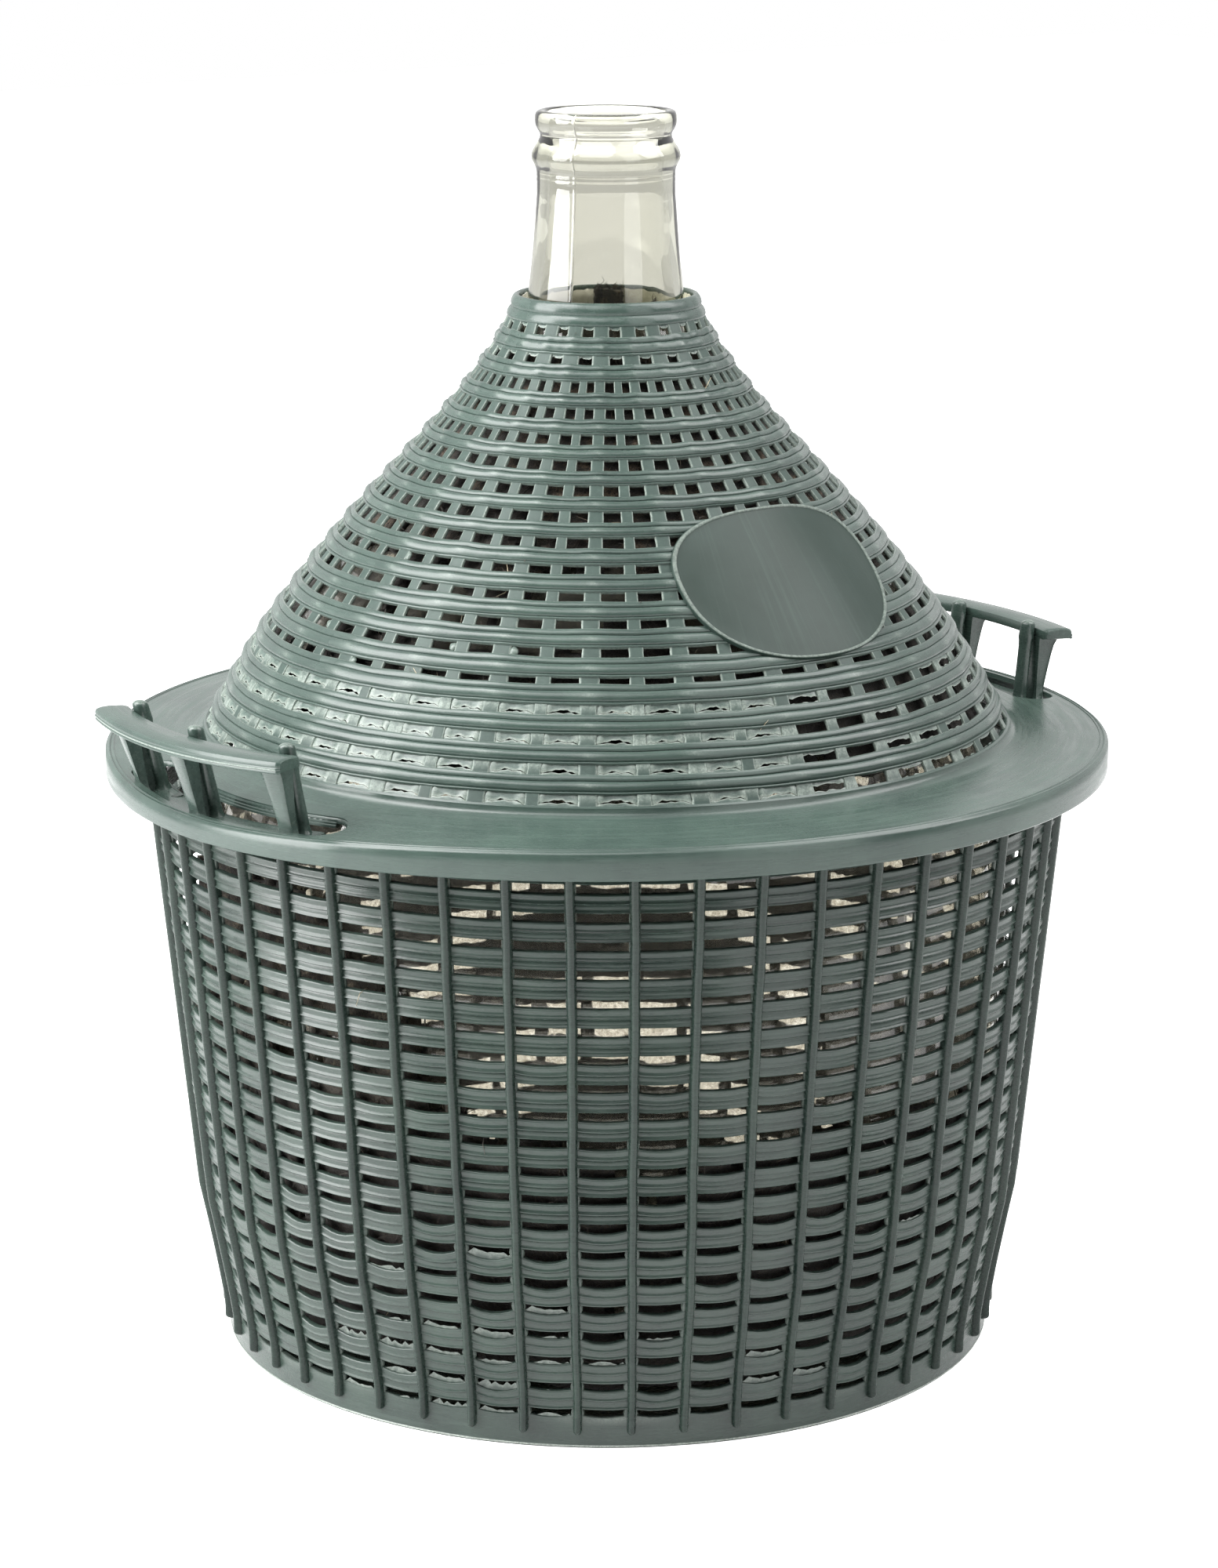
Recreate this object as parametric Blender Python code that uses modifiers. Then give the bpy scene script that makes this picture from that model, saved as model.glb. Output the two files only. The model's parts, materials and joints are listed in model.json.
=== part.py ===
"""A large glass demijohn in an openwork plastic basket, with fibre padding and a perforated lid.

Metres, +Z up. The origin is the middle of the foot, on the surface that the basket stands on.
The two handles lie on +X and -X, and the blank label plate on the lid faces -Y.
"""

import math

import bmesh
import bpy
from mathutils import Matrix, Vector

# Overall sizes. The belly's radius carries the radii of the basket, lid and handles with it,
# and the flange's height carries the heights of the basket's rim and of the handles.
overall_height = 0.4911
glass_belly_radius = 0.1605
flange_edge_height = 0.2450

# Clearances between pieces, how far a cutter runs past what it cuts, and how near points weld
seat_gap = 0.0003
label_gap = 0.0008
cut_overrun = 0.0100
weld_distance = 0.0001
flat_angle = math.radians(0.5)

# Glass balloon
glass_steps = 32
glass_base_height = 0.0115
glass_wall = 0.0030
glass_base_thickness = 0.0050
glass_base_radius = 0.0950
glass_punt_radius = 0.0700
glass_punt_rise = 0.0060

# Bore of the moulded mouth, and the drop below the rim and the wall round the bore of each of
# its features, top to bottom
mouth_radius = 0.0224
lip_top_wall = 0.0034
lip_wall = 0.0052
lip_drop = 0.0035
lip_round = 0.0012
groove_wall = 0.0033
groove_drop = 0.0096
bead_wall = 0.0067
bead_top_drop = 0.0140
bead_bottom_drop = 0.0212
bead_foot_drop = 0.0256
neck_wall = 0.0046
neck_drop = 0.0300
neck_foot_wall = 0.0070
neck_foot_drop = 0.0608
neck_foot_bore_widening = 0.0025
neck_foot_radius = mouth_radius + neck_foot_wall

# The glass shoulder keeps this far inside the lid's cone, at these shares of the cone's length
shoulder_room = 0.0078
shoulder_cone_shares = (0.06, 0.17, 0.38, 0.60, 0.82)

# Height above the glass base and outer radius down the body, as shares of the height from the
# base to the lid's flange and of the belly radius
body_outline_shares = (
    (0.858, 0.978),
    (0.595, 1.000),
    (0.333, 0.978),
    (0.140, 0.895),
    (0.035, 0.760),
)

# Basket moulding
basket_wall = 0.0024
basket_room = 0.0207
basket_top_radius = glass_belly_radius + basket_room
basket_wall_drop = 0.0145
basket_wall_top = flange_edge_height - basket_wall_drop
basket_wall_taper = 0.0987
basket_tuck = 0.0049
basket_tuck_height = 0.0650
basket_tuck_power = 1.5
basket_rib_count = 24
basket_rib_width = 0.0075
basket_rib_height = 0.0026
basket_rib_end_height = 0.0060
basket_row_count = 7
basket_rows_bottom = 0.0140
basket_rows_drop = 0.0011
basket_rows_top = basket_wall_top - basket_rows_drop
basket_window_share = 0.31
floor_recess = 0.0040
floor_slope_width = 0.0040
foot_width = 0.0115
rim_width = 0.0113
rim_radius = basket_top_radius + rim_width
rim_inner_step = 0.0012

# Lid moulding
lid_wall = 0.0022
collar_gap = 0.0063
collar_radius = neck_foot_radius + collar_gap
collar_drop = 0.0709
collar_height = overall_height - collar_drop
cone_base_room = 0.0013
cone_base_radius = glass_belly_radius + cone_base_room
flange_fillet_width = 0.0014
flange_fillet_height = 0.0009
flange_inner_radius = cone_base_radius + flange_fillet_width
flange_fall = 0.0026
flange_inner_height = flange_edge_height + flange_fall
cone_base_height = flange_inner_height + flange_fillet_height
skirt_gap = 0.0053
skirt_depth = 0.0112
flange_radius = rim_radius + skirt_gap + lid_wall
flange_edge_round = 0.0012
lid_column_count = 24
lid_strand_share = 0.34
lid_row_count = 7
lid_first_row_drop = 0.0082
lid_last_row_rise = 0.0050
lid_window_share = 0.31

# How far down, and how far out, the lid's cone has come at each point of its outline
cone_outline_shares = (
    (0.000, 0.000),
    (0.055, 0.028),
    (0.118, 0.074),
    (0.227, 0.184),
    (0.324, 0.300),
    (0.526, 0.550),
    (0.730, 0.771),
    (0.849, 0.877),
    (1.000, 1.000),
)
cone_outline_steps = 6

# Blank label plate, wrapped on the lid
label_width = 0.0980
label_height = 0.0660
label_thickness = 0.0014
label_border_width = 0.0018
label_border_rise = 0.0006
label_middle_drop = 0.1260
label_turn = math.radians(2.0)
label_segments = 24
label_field_shares = (0.0, 0.5)

# Handles: a foot plate on the rim, three posts on the plate, and a curved grip on the posts
handle_post_angle = math.radians(15.6)
foot_plate_thickness = 0.0016
foot_plate_inset = 0.0022
foot_plate_overhang_angle = math.radians(5.0)
foot_plate_inner_radius = basket_top_radius - foot_plate_inset
foot_plate_outer_radius = rim_radius - seat_gap
foot_plate_half_angle = handle_post_angle + foot_plate_overhang_angle
column_radius = 0.0023
column_inset = 0.0033
column_lean = 0.0033
column_foot_radius = basket_top_radius + column_inset
column_top_radius = column_foot_radius + column_lean
knob_radius = 0.0027
knob_segments = 8
knob_rings = 5
knob_top_rise = 0.0305
knob_top_height = flange_edge_height + knob_top_rise
web_foot_depth = 0.0063
web_top_depth = 0.0112
web_foot_width = 0.0060
web_top_width = 0.0095
grip_inset = 0.0027
grip_width = 0.0140
grip_inner_radius = column_top_radius + grip_inset
grip_outer_radius = grip_inner_radius + grip_width
grip_top_rise = 0.0275
grip_top_height = flange_edge_height + grip_top_rise
grip_thickness = 0.0044
grip_overhang_angle = math.radians(2.7)
grip_half_angle = handle_post_angle + grip_overhang_angle
grip_corner = 0.0035
grip_edge_bevel = 0.0008
arc_step_angle = math.radians(6.0)
round_end_segments = 5

# Slots in the lid that the handles pass through
slot_inner_gap = 0.0033
slot_outer_gap = 0.0018
slot_end_angle = math.radians(1.9)
slot_inner_radius = foot_plate_inner_radius - slot_inner_gap
slot_outer_radius = foot_plate_outer_radius + slot_outer_gap
slot_half_angle = foot_plate_half_angle + slot_end_angle

# Fibre padding
padding_steps = 24
padding_floor_gap = 0.0004
padding_glass_gap = 0.0004
padding_basket_gap = 0.0018
padding_lid_gap = 0.0012
padding_rim_drop = 0.0060
padding_hole_gap = 0.0020
padding_hole_radius = glass_punt_radius + padding_hole_gap

# How far down the lid's cone, and how far up the basket's wall, the padding's outline has points
padding_cone_shares = (0.055, 0.15, 0.32, 0.62, 0.93, 1.0)
padding_wall_shares = (0.60, 0.30, 0.13)


def clear_scene():
    for item in list(bpy.data.objects):
        bpy.data.objects.remove(item, do_unlink=True)


def new_collection(name):
    made = bpy.data.collections.new(name)
    bpy.context.scene.collection.children.link(made)
    return made


def new_material(name, colour, roughness, transmission=0.0):
    made = bpy.data.materials.new(name)
    made.use_nodes = True
    shader = made.node_tree.nodes["Principled BSDF"]
    shader.inputs["Base Color"].default_value = colour
    shader.inputs["Roughness"].default_value = roughness
    shader.inputs["Metallic"].default_value = 0.0
    shader.inputs["Transmission Weight"].default_value = transmission
    made.diffuse_color = colour
    return made


def new_object(name, mesh, collection):
    made = bpy.data.objects.new(name, mesh)
    collection.objects.link(made)
    return made


def new_helper(name, mesh):
    made = new_object(name, mesh, helpers)
    made.hide_render = True
    made.display_type = "WIRE"
    return made


def evaluated_mesh(item):
    """The object's mesh as its modifiers leave it, welded, in the object's own space."""
    bpy.context.view_layer.update()
    graph = bpy.context.evaluated_depsgraph_get()
    mesh = bpy.data.meshes.new_from_object(item.evaluated_get(graph))
    edit = bmesh.new()
    edit.from_mesh(mesh)
    bmesh.ops.remove_doubles(edit, verts=edit.verts, dist=weld_distance)
    edit.to_mesh(mesh)
    edit.free()
    return mesh


def face_outwards(edit):
    """Turns the faces of an open surface round the Z axis so that most look away from it."""
    bmesh.ops.recalc_face_normals(edit, faces=edit.faces)
    away = sum(
        face.calc_area() * face.normal.xy.dot(face.calc_center_median().xy) for face in edit.faces
    )
    if away < 0:
        bmesh.ops.reverse_faces(edit, faces=edit.faces)


def finish(item, material, smooth_angle=math.radians(40)):
    mesh = item.data
    mesh.materials.clear()
    mesh.materials.append(material)
    mesh.shade_smooth()
    mesh.set_sharp_from_angle(angle=smooth_angle)


# Outlines in (radius, height)


def basket_radius(height):
    """Outer radius of the basket's bands: a taper that tucks under above an upright foot."""
    height = max(height, basket_rows_bottom)
    radius = basket_top_radius - basket_wall_taper * (basket_wall_top - height)
    if height < basket_tuck_height:
        radius -= basket_tuck * (1.0 - (height / basket_tuck_height) ** basket_tuck_power)
    return radius


def smooth_through(points, steps):
    """Points on a smooth curve through the given ones (Catmull-Rom)."""
    padded = [points[0], *points, points[-1]]
    curve = []
    for before, start, end, after in zip(padded, padded[1:], padded[2:], padded[3:]):
        for step in range(steps):
            t = step / steps
            curve.append(
                tuple(
                    0.5 * (2 * b + (c - a) * t + (2 * a - 5 * b + 4 * c - d) * t**2
                           + (3 * b - a - 3 * c + d) * t**3)
                    for a, b, c, d in zip(before, start, end, after)
                )
            )
    curve.append(tuple(points[-1]))
    return curve


def cone_outline():
    """The outside of the lid's cone from the collar down, finely stepped."""
    points = [
        (
            collar_radius + out * (cone_base_radius - collar_radius),
            collar_height - down * (collar_height - cone_base_height),
        )
        for down, out in cone_outline_shares
    ]
    return smooth_through(points, cone_outline_steps)


def lengths_along(outline):
    total = [0.0]
    for (r0, z0), (r1, z1) in zip(outline, outline[1:]):
        total.append(total[-1] + math.hypot(r1 - r0, z1 - z0))
    return total


def point_at(outline, lengths, distance):
    """Radius and height at a distance along an outline."""
    for index in range(len(lengths) - 1):
        if distance <= lengths[index + 1] or index == len(lengths) - 2:
            span = lengths[index + 1] - lengths[index]
            t = (distance - lengths[index]) / span
            (r0, z0), (r1, z1) = outline[index], outline[index + 1]
            return (r0 + t * (r1 - r0), z0 + t * (z1 - z0))


def flange_top(radius):
    """Height of the lid's flange, which falls slightly towards its edge."""
    share = (radius - flange_inner_radius) / (flange_radius - flange_inner_radius)
    return flange_inner_height + share * (flange_edge_height - flange_inner_height)


def rim_top(radius):
    """Top of the basket's rim, which carries the lid's flange from below."""
    return flange_top(radius) - lid_wall - seat_gap


def window_rows(count, low, high, share):
    """The (start, end) of each row of windows: the first starts at low, the last ends at high."""
    pitch = (high - low) / (count - 1 + share)
    starts = [low + pitch * index for index in range(count)]
    return [(start, start + pitch * share) for start in starts]


# Tools that make the pieces


def turned(name, outline, steps, collection):
    """A surface or solid turned round Z. The outline runs down the outer side."""
    mesh = bpy.data.meshes.new(name)
    edges = [(index, index + 1) for index in range(len(outline) - 1)]
    mesh.from_pydata([(radius, 0.0, height) for radius, height in outline], edges, [])
    item = new_object(name, mesh, collection)
    screw = item.modifiers.new("turn", "SCREW")
    screw.steps = steps
    screw.render_steps = steps
    screw.use_merge_vertices = True
    screw.merge_threshold = weld_distance
    return item


def openwork(name, outline, columns, marks, is_window, place, thickness):
    """A turned shell of green plastic with rows of windows between upright strands.

    Each column has one turning step for each mark: place(mark, column, radius, height) gives
    its angle and radius, and is_window(mark, height) says which faces are open.
    """
    steps = columns * marks
    surface = turned(name + "_surface", outline, steps, helpers)
    mesh = evaluated_mesh(surface)
    bpy.data.objects.remove(surface, do_unlink=True)
    edit = bmesh.new()
    edit.from_mesh(mesh)
    step_angle = 2 * math.pi / steps
    open_faces = []
    for face in edit.faces:
        middle = face.calc_center_median()
        step = int((math.atan2(middle.y, middle.x) % (2 * math.pi)) / step_angle)
        if is_window(step % marks, middle.z):
            open_faces.append(face)
    bmesh.ops.delete(edit, geom=open_faces, context="FACES")
    for vertex in edit.verts:
        radius = vertex.co.xy.length
        if radius < weld_distance:
            continue
        turn = math.atan2(vertex.co.y, vertex.co.x) % (2 * math.pi)
        column, mark = divmod(round(turn / step_angle) % steps, marks)
        angle, radius = place(mark, column, radius, vertex.co.z)
        vertex.co.x = radius * math.cos(angle)
        vertex.co.y = radius * math.sin(angle)
    face_outwards(edit)
    edit.to_mesh(mesh)
    edit.free()
    item = new_object(name, mesh, parts)
    solid = item.modifiers.new("wall", "SOLIDIFY")
    solid.thickness = thickness
    solid.offset = -1.0
    solid.use_even_offset = True
    solid.use_quality_normals = True
    finish(item, green_plastic)
    return item


def arc_outline(inner, outer, half_angle, corner):
    """A curved strip seen from above, about +X, with its four corners cut off."""
    count = max(2, round(2 * half_angle / arc_step_angle))
    points = []
    for near, far, direction in ((outer, inner, 1), (inner, outer, -1)):
        reach = half_angle - corner / near
        for index in range(count + 1):
            angle = direction * (2 * index / count - 1) * reach
            points.append(Vector((near * math.cos(angle), near * math.sin(angle))))
        angle = direction * half_angle
        for radius in (near - direction * corner, far + direction * corner):
            points.append(Vector((radius * math.cos(angle), radius * math.sin(angle))))
    return points


def round_ended_arc(inner, outer, half_angle):
    """A curved strip seen from above, about +X, with half-round ends."""
    middle = 0.5 * (inner + outer)
    end_radius = 0.5 * (outer - inner)
    reach = half_angle - end_radius / middle
    arc_count = max(2, round(2 * reach / arc_step_angle))
    points = []
    for radius, direction in ((outer, 1), (inner, -1)):
        for index in range(arc_count + 1):
            angle = direction * (2 * index / arc_count - 1) * reach
            points.append(Vector((radius * math.cos(angle), radius * math.sin(angle))))
        end_angle = direction * reach
        hub = Vector((middle * math.cos(end_angle), middle * math.sin(end_angle)))
        for index in range(1, round_end_segments):
            turn = end_angle + math.pi * index / round_end_segments
            if direction < 0:
                turn += math.pi
            points.append(hub + end_radius * Vector((math.cos(turn), math.sin(turn))))
    return points


def prism(name, outline, low, high):
    """A flat outline raised to a solid between two heights, as a helper."""
    curve = bpy.data.curves.new(name, "CURVE")
    curve.dimensions = "2D"
    curve.fill_mode = "BOTH"
    curve.extrude = 0.5 * (high - low)
    spline = curve.splines.new("POLY")
    spline.points.add(len(outline) - 1)
    for point, place in zip(spline.points, outline):
        point.co = (place.x, place.y, 0.0, 1.0)
    spline.use_cyclic_u = True
    source = new_object(name + "_curve", curve, helpers)
    mesh = evaluated_mesh(source)
    bpy.data.objects.remove(source, do_unlink=True)
    mesh.transform(Matrix.Translation((0.0, 0.0, 0.5 * (low + high))))
    edit = bmesh.new()
    edit.from_mesh(mesh)
    bmesh.ops.dissolve_limit(
        edit, angle_limit=flat_angle, verts=edit.verts, edges=edit.edges
    )
    bmesh.ops.recalc_face_normals(edit, faces=edit.faces)
    edit.to_mesh(mesh)
    edit.free()
    return new_helper(name, mesh)


def tapered_block(name, foot, top):
    """A block between a foot and a top rectangle, each (x low, x high, y low, y high, z)."""
    edit = bmesh.new()
    bmesh.ops.create_cube(edit, size=2.0)
    for vertex in edit.verts:
        x_low, x_high, y_low, y_high, z = top if vertex.co.z > 0 else foot
        vertex.co.x = x_high if vertex.co.x > 0 else x_low
        vertex.co.y = y_high if vertex.co.y > 0 else y_low
        vertex.co.z = z
    mesh = bpy.data.meshes.new(name)
    edit.to_mesh(mesh)
    edit.free()
    return new_helper(name, mesh)


def rod(name, start, end, radius):
    """A round rod between two points, with closed ends."""
    curve = bpy.data.curves.new(name, "CURVE")
    curve.dimensions = "3D"
    curve.bevel_depth = radius
    curve.bevel_resolution = 1
    curve.use_fill_caps = True
    spline = curve.splines.new("POLY")
    spline.points.add(1)
    spline.points[0].co = (*start, 1.0)
    spline.points[1].co = (*end, 1.0)
    source = new_object(name + "_curve", curve, helpers)
    mesh = evaluated_mesh(source)
    bpy.data.objects.remove(source, do_unlink=True)
    return new_helper(name, mesh)


def ball(name, centre, radius, segments, rings):
    edit = bmesh.new()
    bmesh.ops.create_uvsphere(edit, u_segments=segments, v_segments=rings, radius=radius)
    bmesh.ops.translate(edit, verts=edit.verts, vec=centre)
    mesh = bpy.data.meshes.new(name)
    edit.to_mesh(mesh)
    edit.free()
    return new_helper(name, mesh)


def joined(base, others):
    """The mesh of a helper with the other helpers fused to it."""
    for other in others:
        union = base.modifiers.new(other.name, "BOOLEAN")
        union.operation = "UNION"
        union.object = other
    return evaluated_mesh(base)


# Pieces


def make_basket():
    """Floor, foot, ribbed wall with its rows of windows, and the rim, in one moulding."""
    rows = window_rows(
        basket_row_count,
        basket_rows_bottom,
        basket_rows_top,
        basket_window_share,
    )
    foot_radius = basket_radius(0.0)
    foot_inner = foot_radius - foot_width
    neck_of_rim = basket_top_radius + rim_inner_step
    outline = [
        (rim_radius, rim_top(rim_radius) - basket_wall),
        (neck_of_rim, rim_top(neck_of_rim) - basket_wall),
    ]
    for low, high in reversed(rows):
        outline.append((basket_radius(high), high))
        outline.append((basket_radius(low), low))
    outline += [
        (foot_radius, basket_rib_end_height),
        (foot_radius, 0.0),
        (foot_inner, 0.0),
        (foot_inner - floor_slope_width, floor_recess),
        (0.0, floor_recess),
    ]
    pitch = 2 * math.pi / basket_rib_count

    def is_window(mark, height):
        return mark == 2 and any(low < height < high for low, high in rows)

    def place(mark, column, radius, height):
        half_rib = 0.5 * basket_rib_width / max(radius, foot_inner)
        if mark == 1 and 0.5 * basket_rib_end_height < height < basket_wall_top:
            radius += basket_rib_height
        return pitch * (column + 0.5) + (mark - 1) * half_rib, radius

    openwork("basket", outline, basket_rib_count, 3, is_window, place, basket_wall)


def make_lid():
    """Collar, openwork cone, flange and skirt in one moulding, with a slot for each handle."""
    outline = cone_outline()
    lengths = lengths_along(outline)
    rows = window_rows(
        lid_row_count,
        lid_first_row_drop,
        lengths[-1] - lid_last_row_rise,
        lid_window_share,
    )
    profile = [outline[0]]
    windows = []
    for start, end in rows:
        upper = point_at(outline, lengths, start)
        lower = point_at(outline, lengths, end)
        profile += [upper, lower]
        windows.append((lower[1], upper[1]))
    skirt_foot = flange_edge_height - skirt_depth
    profile += [
        outline[-1],
        (flange_inner_radius, flange_top(flange_inner_radius)),
        (flange_radius - flange_edge_round, flange_top(flange_radius - flange_edge_round)),
        (flange_radius, flange_edge_height - flange_edge_round),
        (flange_radius, skirt_foot),
    ]
    pitch = 2 * math.pi / lid_column_count
    half_strand = 0.5 * lid_strand_share * pitch

    def is_window(mark, height):
        return mark == 1 and any(low < height < high for low, high in windows)

    def place(mark, column, radius, height):
        return pitch * (column + 0.5) + (2 * mark - 1) * half_strand, radius

    lid = openwork("lid", profile, lid_column_count, 2, is_window, place, lid_wall)
    slot = prism(
        "slot_cutter",
        round_ended_arc(slot_inner_radius, slot_outer_radius, slot_half_angle),
        skirt_foot,
        flange_inner_height + cut_overrun,
    )
    for side, angle in (("right", 0.0), ("left", math.pi)):
        cutter = new_helper("slot_cutter_" + side, slot.data)
        cutter.rotation_euler.z = angle
        cut = lid.modifiers.new("slot_" + side, "BOOLEAN")
        cut.operation = "DIFFERENCE"
        cut.object = cutter


def make_label():
    """A thin oval plate with a raised border, wrapped on the lid's cone facing -Y."""
    outline = cone_outline()
    lengths = lengths_along(outline)
    border = 1.0 - 2 * label_border_width / label_height
    edge_shares = [*label_field_shares, border, 1.0]
    disc = [(share, 0.0) for share in edge_shares]
    flat = turned("label_flat", disc, label_segments, helpers)
    wrapped = evaluated_mesh(flat)
    bpy.data.objects.remove(flat, do_unlink=True)
    edit = bmesh.new()
    edit.from_mesh(wrapped)
    for vertex in edit.verts:
        share = vertex.co.xy.length
        across = 0.5 * label_width * vertex.co.x
        down = label_middle_drop - 0.5 * label_height * vertex.co.y
        radius, height = point_at(outline, lengths, down)
        ahead = point_at(outline, lengths, down + label_thickness)
        along = Vector((ahead[0] - radius, ahead[1] - height)).normalized()
        on_border = share > 0.5 * (border + 1.0)
        rise = label_gap + label_border_rise * on_border
        radius_out = radius - along.y * rise
        angle = label_turn - 0.5 * math.pi + across / radius
        vertex.co = (
            radius_out * math.cos(angle),
            radius_out * math.sin(angle),
            height + along.x * rise,
        )
    face_outwards(edit)
    edit.to_mesh(wrapped)
    edit.free()
    label = new_object("label_plate", wrapped, parts)
    solid = label.modifiers.new("thickness", "SOLIDIFY")
    solid.thickness = label_thickness
    solid.offset = 1.0
    solid.use_even_offset = True
    finish(label, green_plastic)


def make_handles():
    """Three posts with round columns that carry a curved grip, on a foot plate on the rim."""
    plate_low = rim_top(foot_plate_inner_radius) + seat_gap
    plate_top = plate_low + foot_plate_thickness
    grip_low = grip_top_height - grip_thickness
    plate = prism(
        "foot_plate",
        round_ended_arc(
            foot_plate_inner_radius,
            foot_plate_outer_radius,
            foot_plate_half_angle,
        ),
        plate_low,
        plate_top,
    )
    grip = prism(
        "grip",
        arc_outline(grip_inner_radius, grip_outer_radius, grip_half_angle, grip_corner),
        grip_low,
        grip_top_height,
    )
    bevel = grip.modifiers.new("edge", "BEVEL")
    bevel.width = grip_edge_bevel
    bevel.segments = 1
    grip.data = evaluated_mesh(grip)
    grip.modifiers.clear()
    pieces = [grip]
    sink = 0.5 * foot_plate_thickness
    knob_height = knob_top_height - knob_radius
    for index in (-1, 0, 1):
        turn = Matrix.Rotation(index * handle_post_angle, 4, "Z")
        web = tapered_block(
            f"web_{index}",
            (
                column_foot_radius,
                column_foot_radius + web_foot_depth,
                -0.5 * web_foot_width,
                0.5 * web_foot_width,
                plate_top - sink,
            ),
            (
                column_top_radius,
                column_top_radius + web_top_depth,
                -0.5 * web_top_width,
                0.5 * web_top_width,
                grip_low + 0.5 * grip_thickness,
            ),
        )
        column = rod(
            f"column_{index}",
            (column_foot_radius, 0.0, plate_top - sink),
            (column_top_radius, 0.0, knob_height),
            column_radius,
        )
        knob = ball(
            f"knob_{index}",
            (column_top_radius, 0.0, knob_height),
            knob_radius,
            knob_segments,
            knob_rings,
        )
        for piece in (web, column, knob):
            piece.data.transform(turn)
            pieces.append(piece)
    mesh = joined(plate, pieces)
    for name, angle in (("handle_right", 0.0), ("handle_left", math.pi)):
        handle = new_object(name, mesh, parts)
        handle.rotation_euler.z = angle
        finish(handle, green_plastic)


def moved_square(points, index, distance):
    """A point of an outline that runs down, moved so that both its sides move square to
    themselves by the distance: outwards where it is positive."""
    here = Vector(points[index])
    into = here - Vector(points[max(index - 1, 0)])
    out_of = Vector(points[min(index + 1, len(points) - 1)]) - here
    sides = [side.normalized() for side in (into, out_of) if side.length > 0]
    squares = [Vector((-side.y, side.x)) for side in sides]
    middle = (squares[0] + squares[-1]).normalized()
    moved = here + middle * (distance / middle.dot(squares[0]))
    return tuple(moved)


def glass_outside():
    """Down the outside of the glass, from the rim of the mouth to the middle of the base."""
    top = overall_height
    mouth = [
        (mouth_radius + lip_top_wall, top),
        (mouth_radius + lip_wall, top - lip_round),
        (mouth_radius + lip_wall, top - lip_drop),
        (mouth_radius + groove_wall, top - groove_drop),
        (mouth_radius + bead_wall - lip_round, top - bead_top_drop),
        (mouth_radius + bead_wall, top - 0.5 * (bead_top_drop + bead_bottom_drop)),
        (mouth_radius + bead_wall - lip_round, top - bead_bottom_drop),
        (mouth_radius + neck_wall, top - bead_foot_drop),
        (mouth_radius + neck_wall, top - neck_drop),
        (neck_foot_radius, top - neck_foot_drop),
    ]
    cone = cone_outline()
    lengths = lengths_along(cone)
    run = [point_at(cone, lengths, share * lengths[-1]) for share in shoulder_cone_shares]
    body = [moved_square(run, index, -shoulder_room) for index in range(len(run))]
    rise = flange_edge_height - glass_base_height
    for up, out in body_outline_shares:
        body.append((out * glass_belly_radius, glass_base_height + up * rise))
    base = [
        (glass_base_radius, glass_base_height),
        (glass_punt_radius, glass_base_height),
        (0.0, glass_base_height + glass_punt_rise),
    ]
    return mouth, body, base


def make_glass():
    mouth, body, base = glass_outside()
    inside = [
        (0.0, glass_base_height + glass_punt_rise + glass_base_thickness),
        (glass_base_radius, glass_base_height + glass_base_thickness),
    ]
    skin = [mouth[-1], *body]
    inside += [moved_square(skin, index, -glass_wall) for index in range(len(body), 0, -1)]
    inside += [
        (mouth_radius + neck_foot_bore_widening, overall_height - neck_foot_drop),
        (mouth_radius, overall_height - neck_drop),
        (mouth_radius, overall_height - lip_drop),
        (mouth_radius + lip_round, overall_height),
    ]
    run = mouth + body + base + inside
    glass = turned("glass_balloon", [*run, run[0]], glass_steps, parts)
    finish(glass, clear_glass)


def make_padding():
    """Fibre wadding that fills the space between the glass and the basket and lid."""
    cone = cone_outline()
    lengths = lengths_along(cone)
    lid_run = [point_at(cone, lengths, share * lengths[-1]) for share in padding_cone_shares]
    lid_run += [
        (flange_inner_radius, flange_top(flange_inner_radius)),
        (basket_top_radius, flange_top(basket_top_radius)),
    ]
    sunk = lid_wall + padding_lid_gap
    outside = [moved_square(lid_run, index, -sunk) for index in range(len(lid_run) - 1)]
    wall_top = rim_top(basket_top_radius) - padding_rim_drop
    sunk = basket_wall + padding_basket_gap
    for share in (1.0, *padding_wall_shares):
        outside.append((basket_radius(share * wall_top) - sunk, share * wall_top))
    floor = floor_recess + basket_wall + padding_floor_gap
    foot_inner = basket_radius(0.0) - foot_width - floor_slope_width
    outside += [
        (foot_inner, floor),
        (padding_hole_radius, floor),
        (padding_hole_radius, glass_base_height - padding_glass_gap),
    ]
    _, body, base = glass_outside()
    skin = body + base
    widening = 1.0 / math.cos(math.pi / padding_steps)
    inside = []
    for index in range(len(body), -1, -1):
        radius, height = moved_square(skin, index, padding_glass_gap)
        inside.append((radius * widening, height))
    run = outside + inside
    padding = turned("fibre_padding", [*run, run[0]], padding_steps, parts)
    finish(padding, brown_fibre)


clear_scene()
parts = new_collection("demijohn")
helpers = new_collection("helpers")
green_plastic = new_material("grey_green_plastic", (0.105, 0.155, 0.135, 1.0), 0.42)
clear_glass = new_material("clear_glass", (0.90, 0.91, 0.86, 1.0), 0.03, 1.0)
brown_fibre = new_material("brown_fibre", (0.060, 0.045, 0.035, 1.0), 0.95)

make_basket()
make_handles()
make_glass()
make_padding()
make_lid()
make_label()
helpers.hide_render = True
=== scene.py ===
import json
import random
from math import atan2, cos, degrees, exp, hypot, pi, radians, remainder, sin

import bmesh
import bpy
from mathutils import Matrix, Vector, noise

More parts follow.
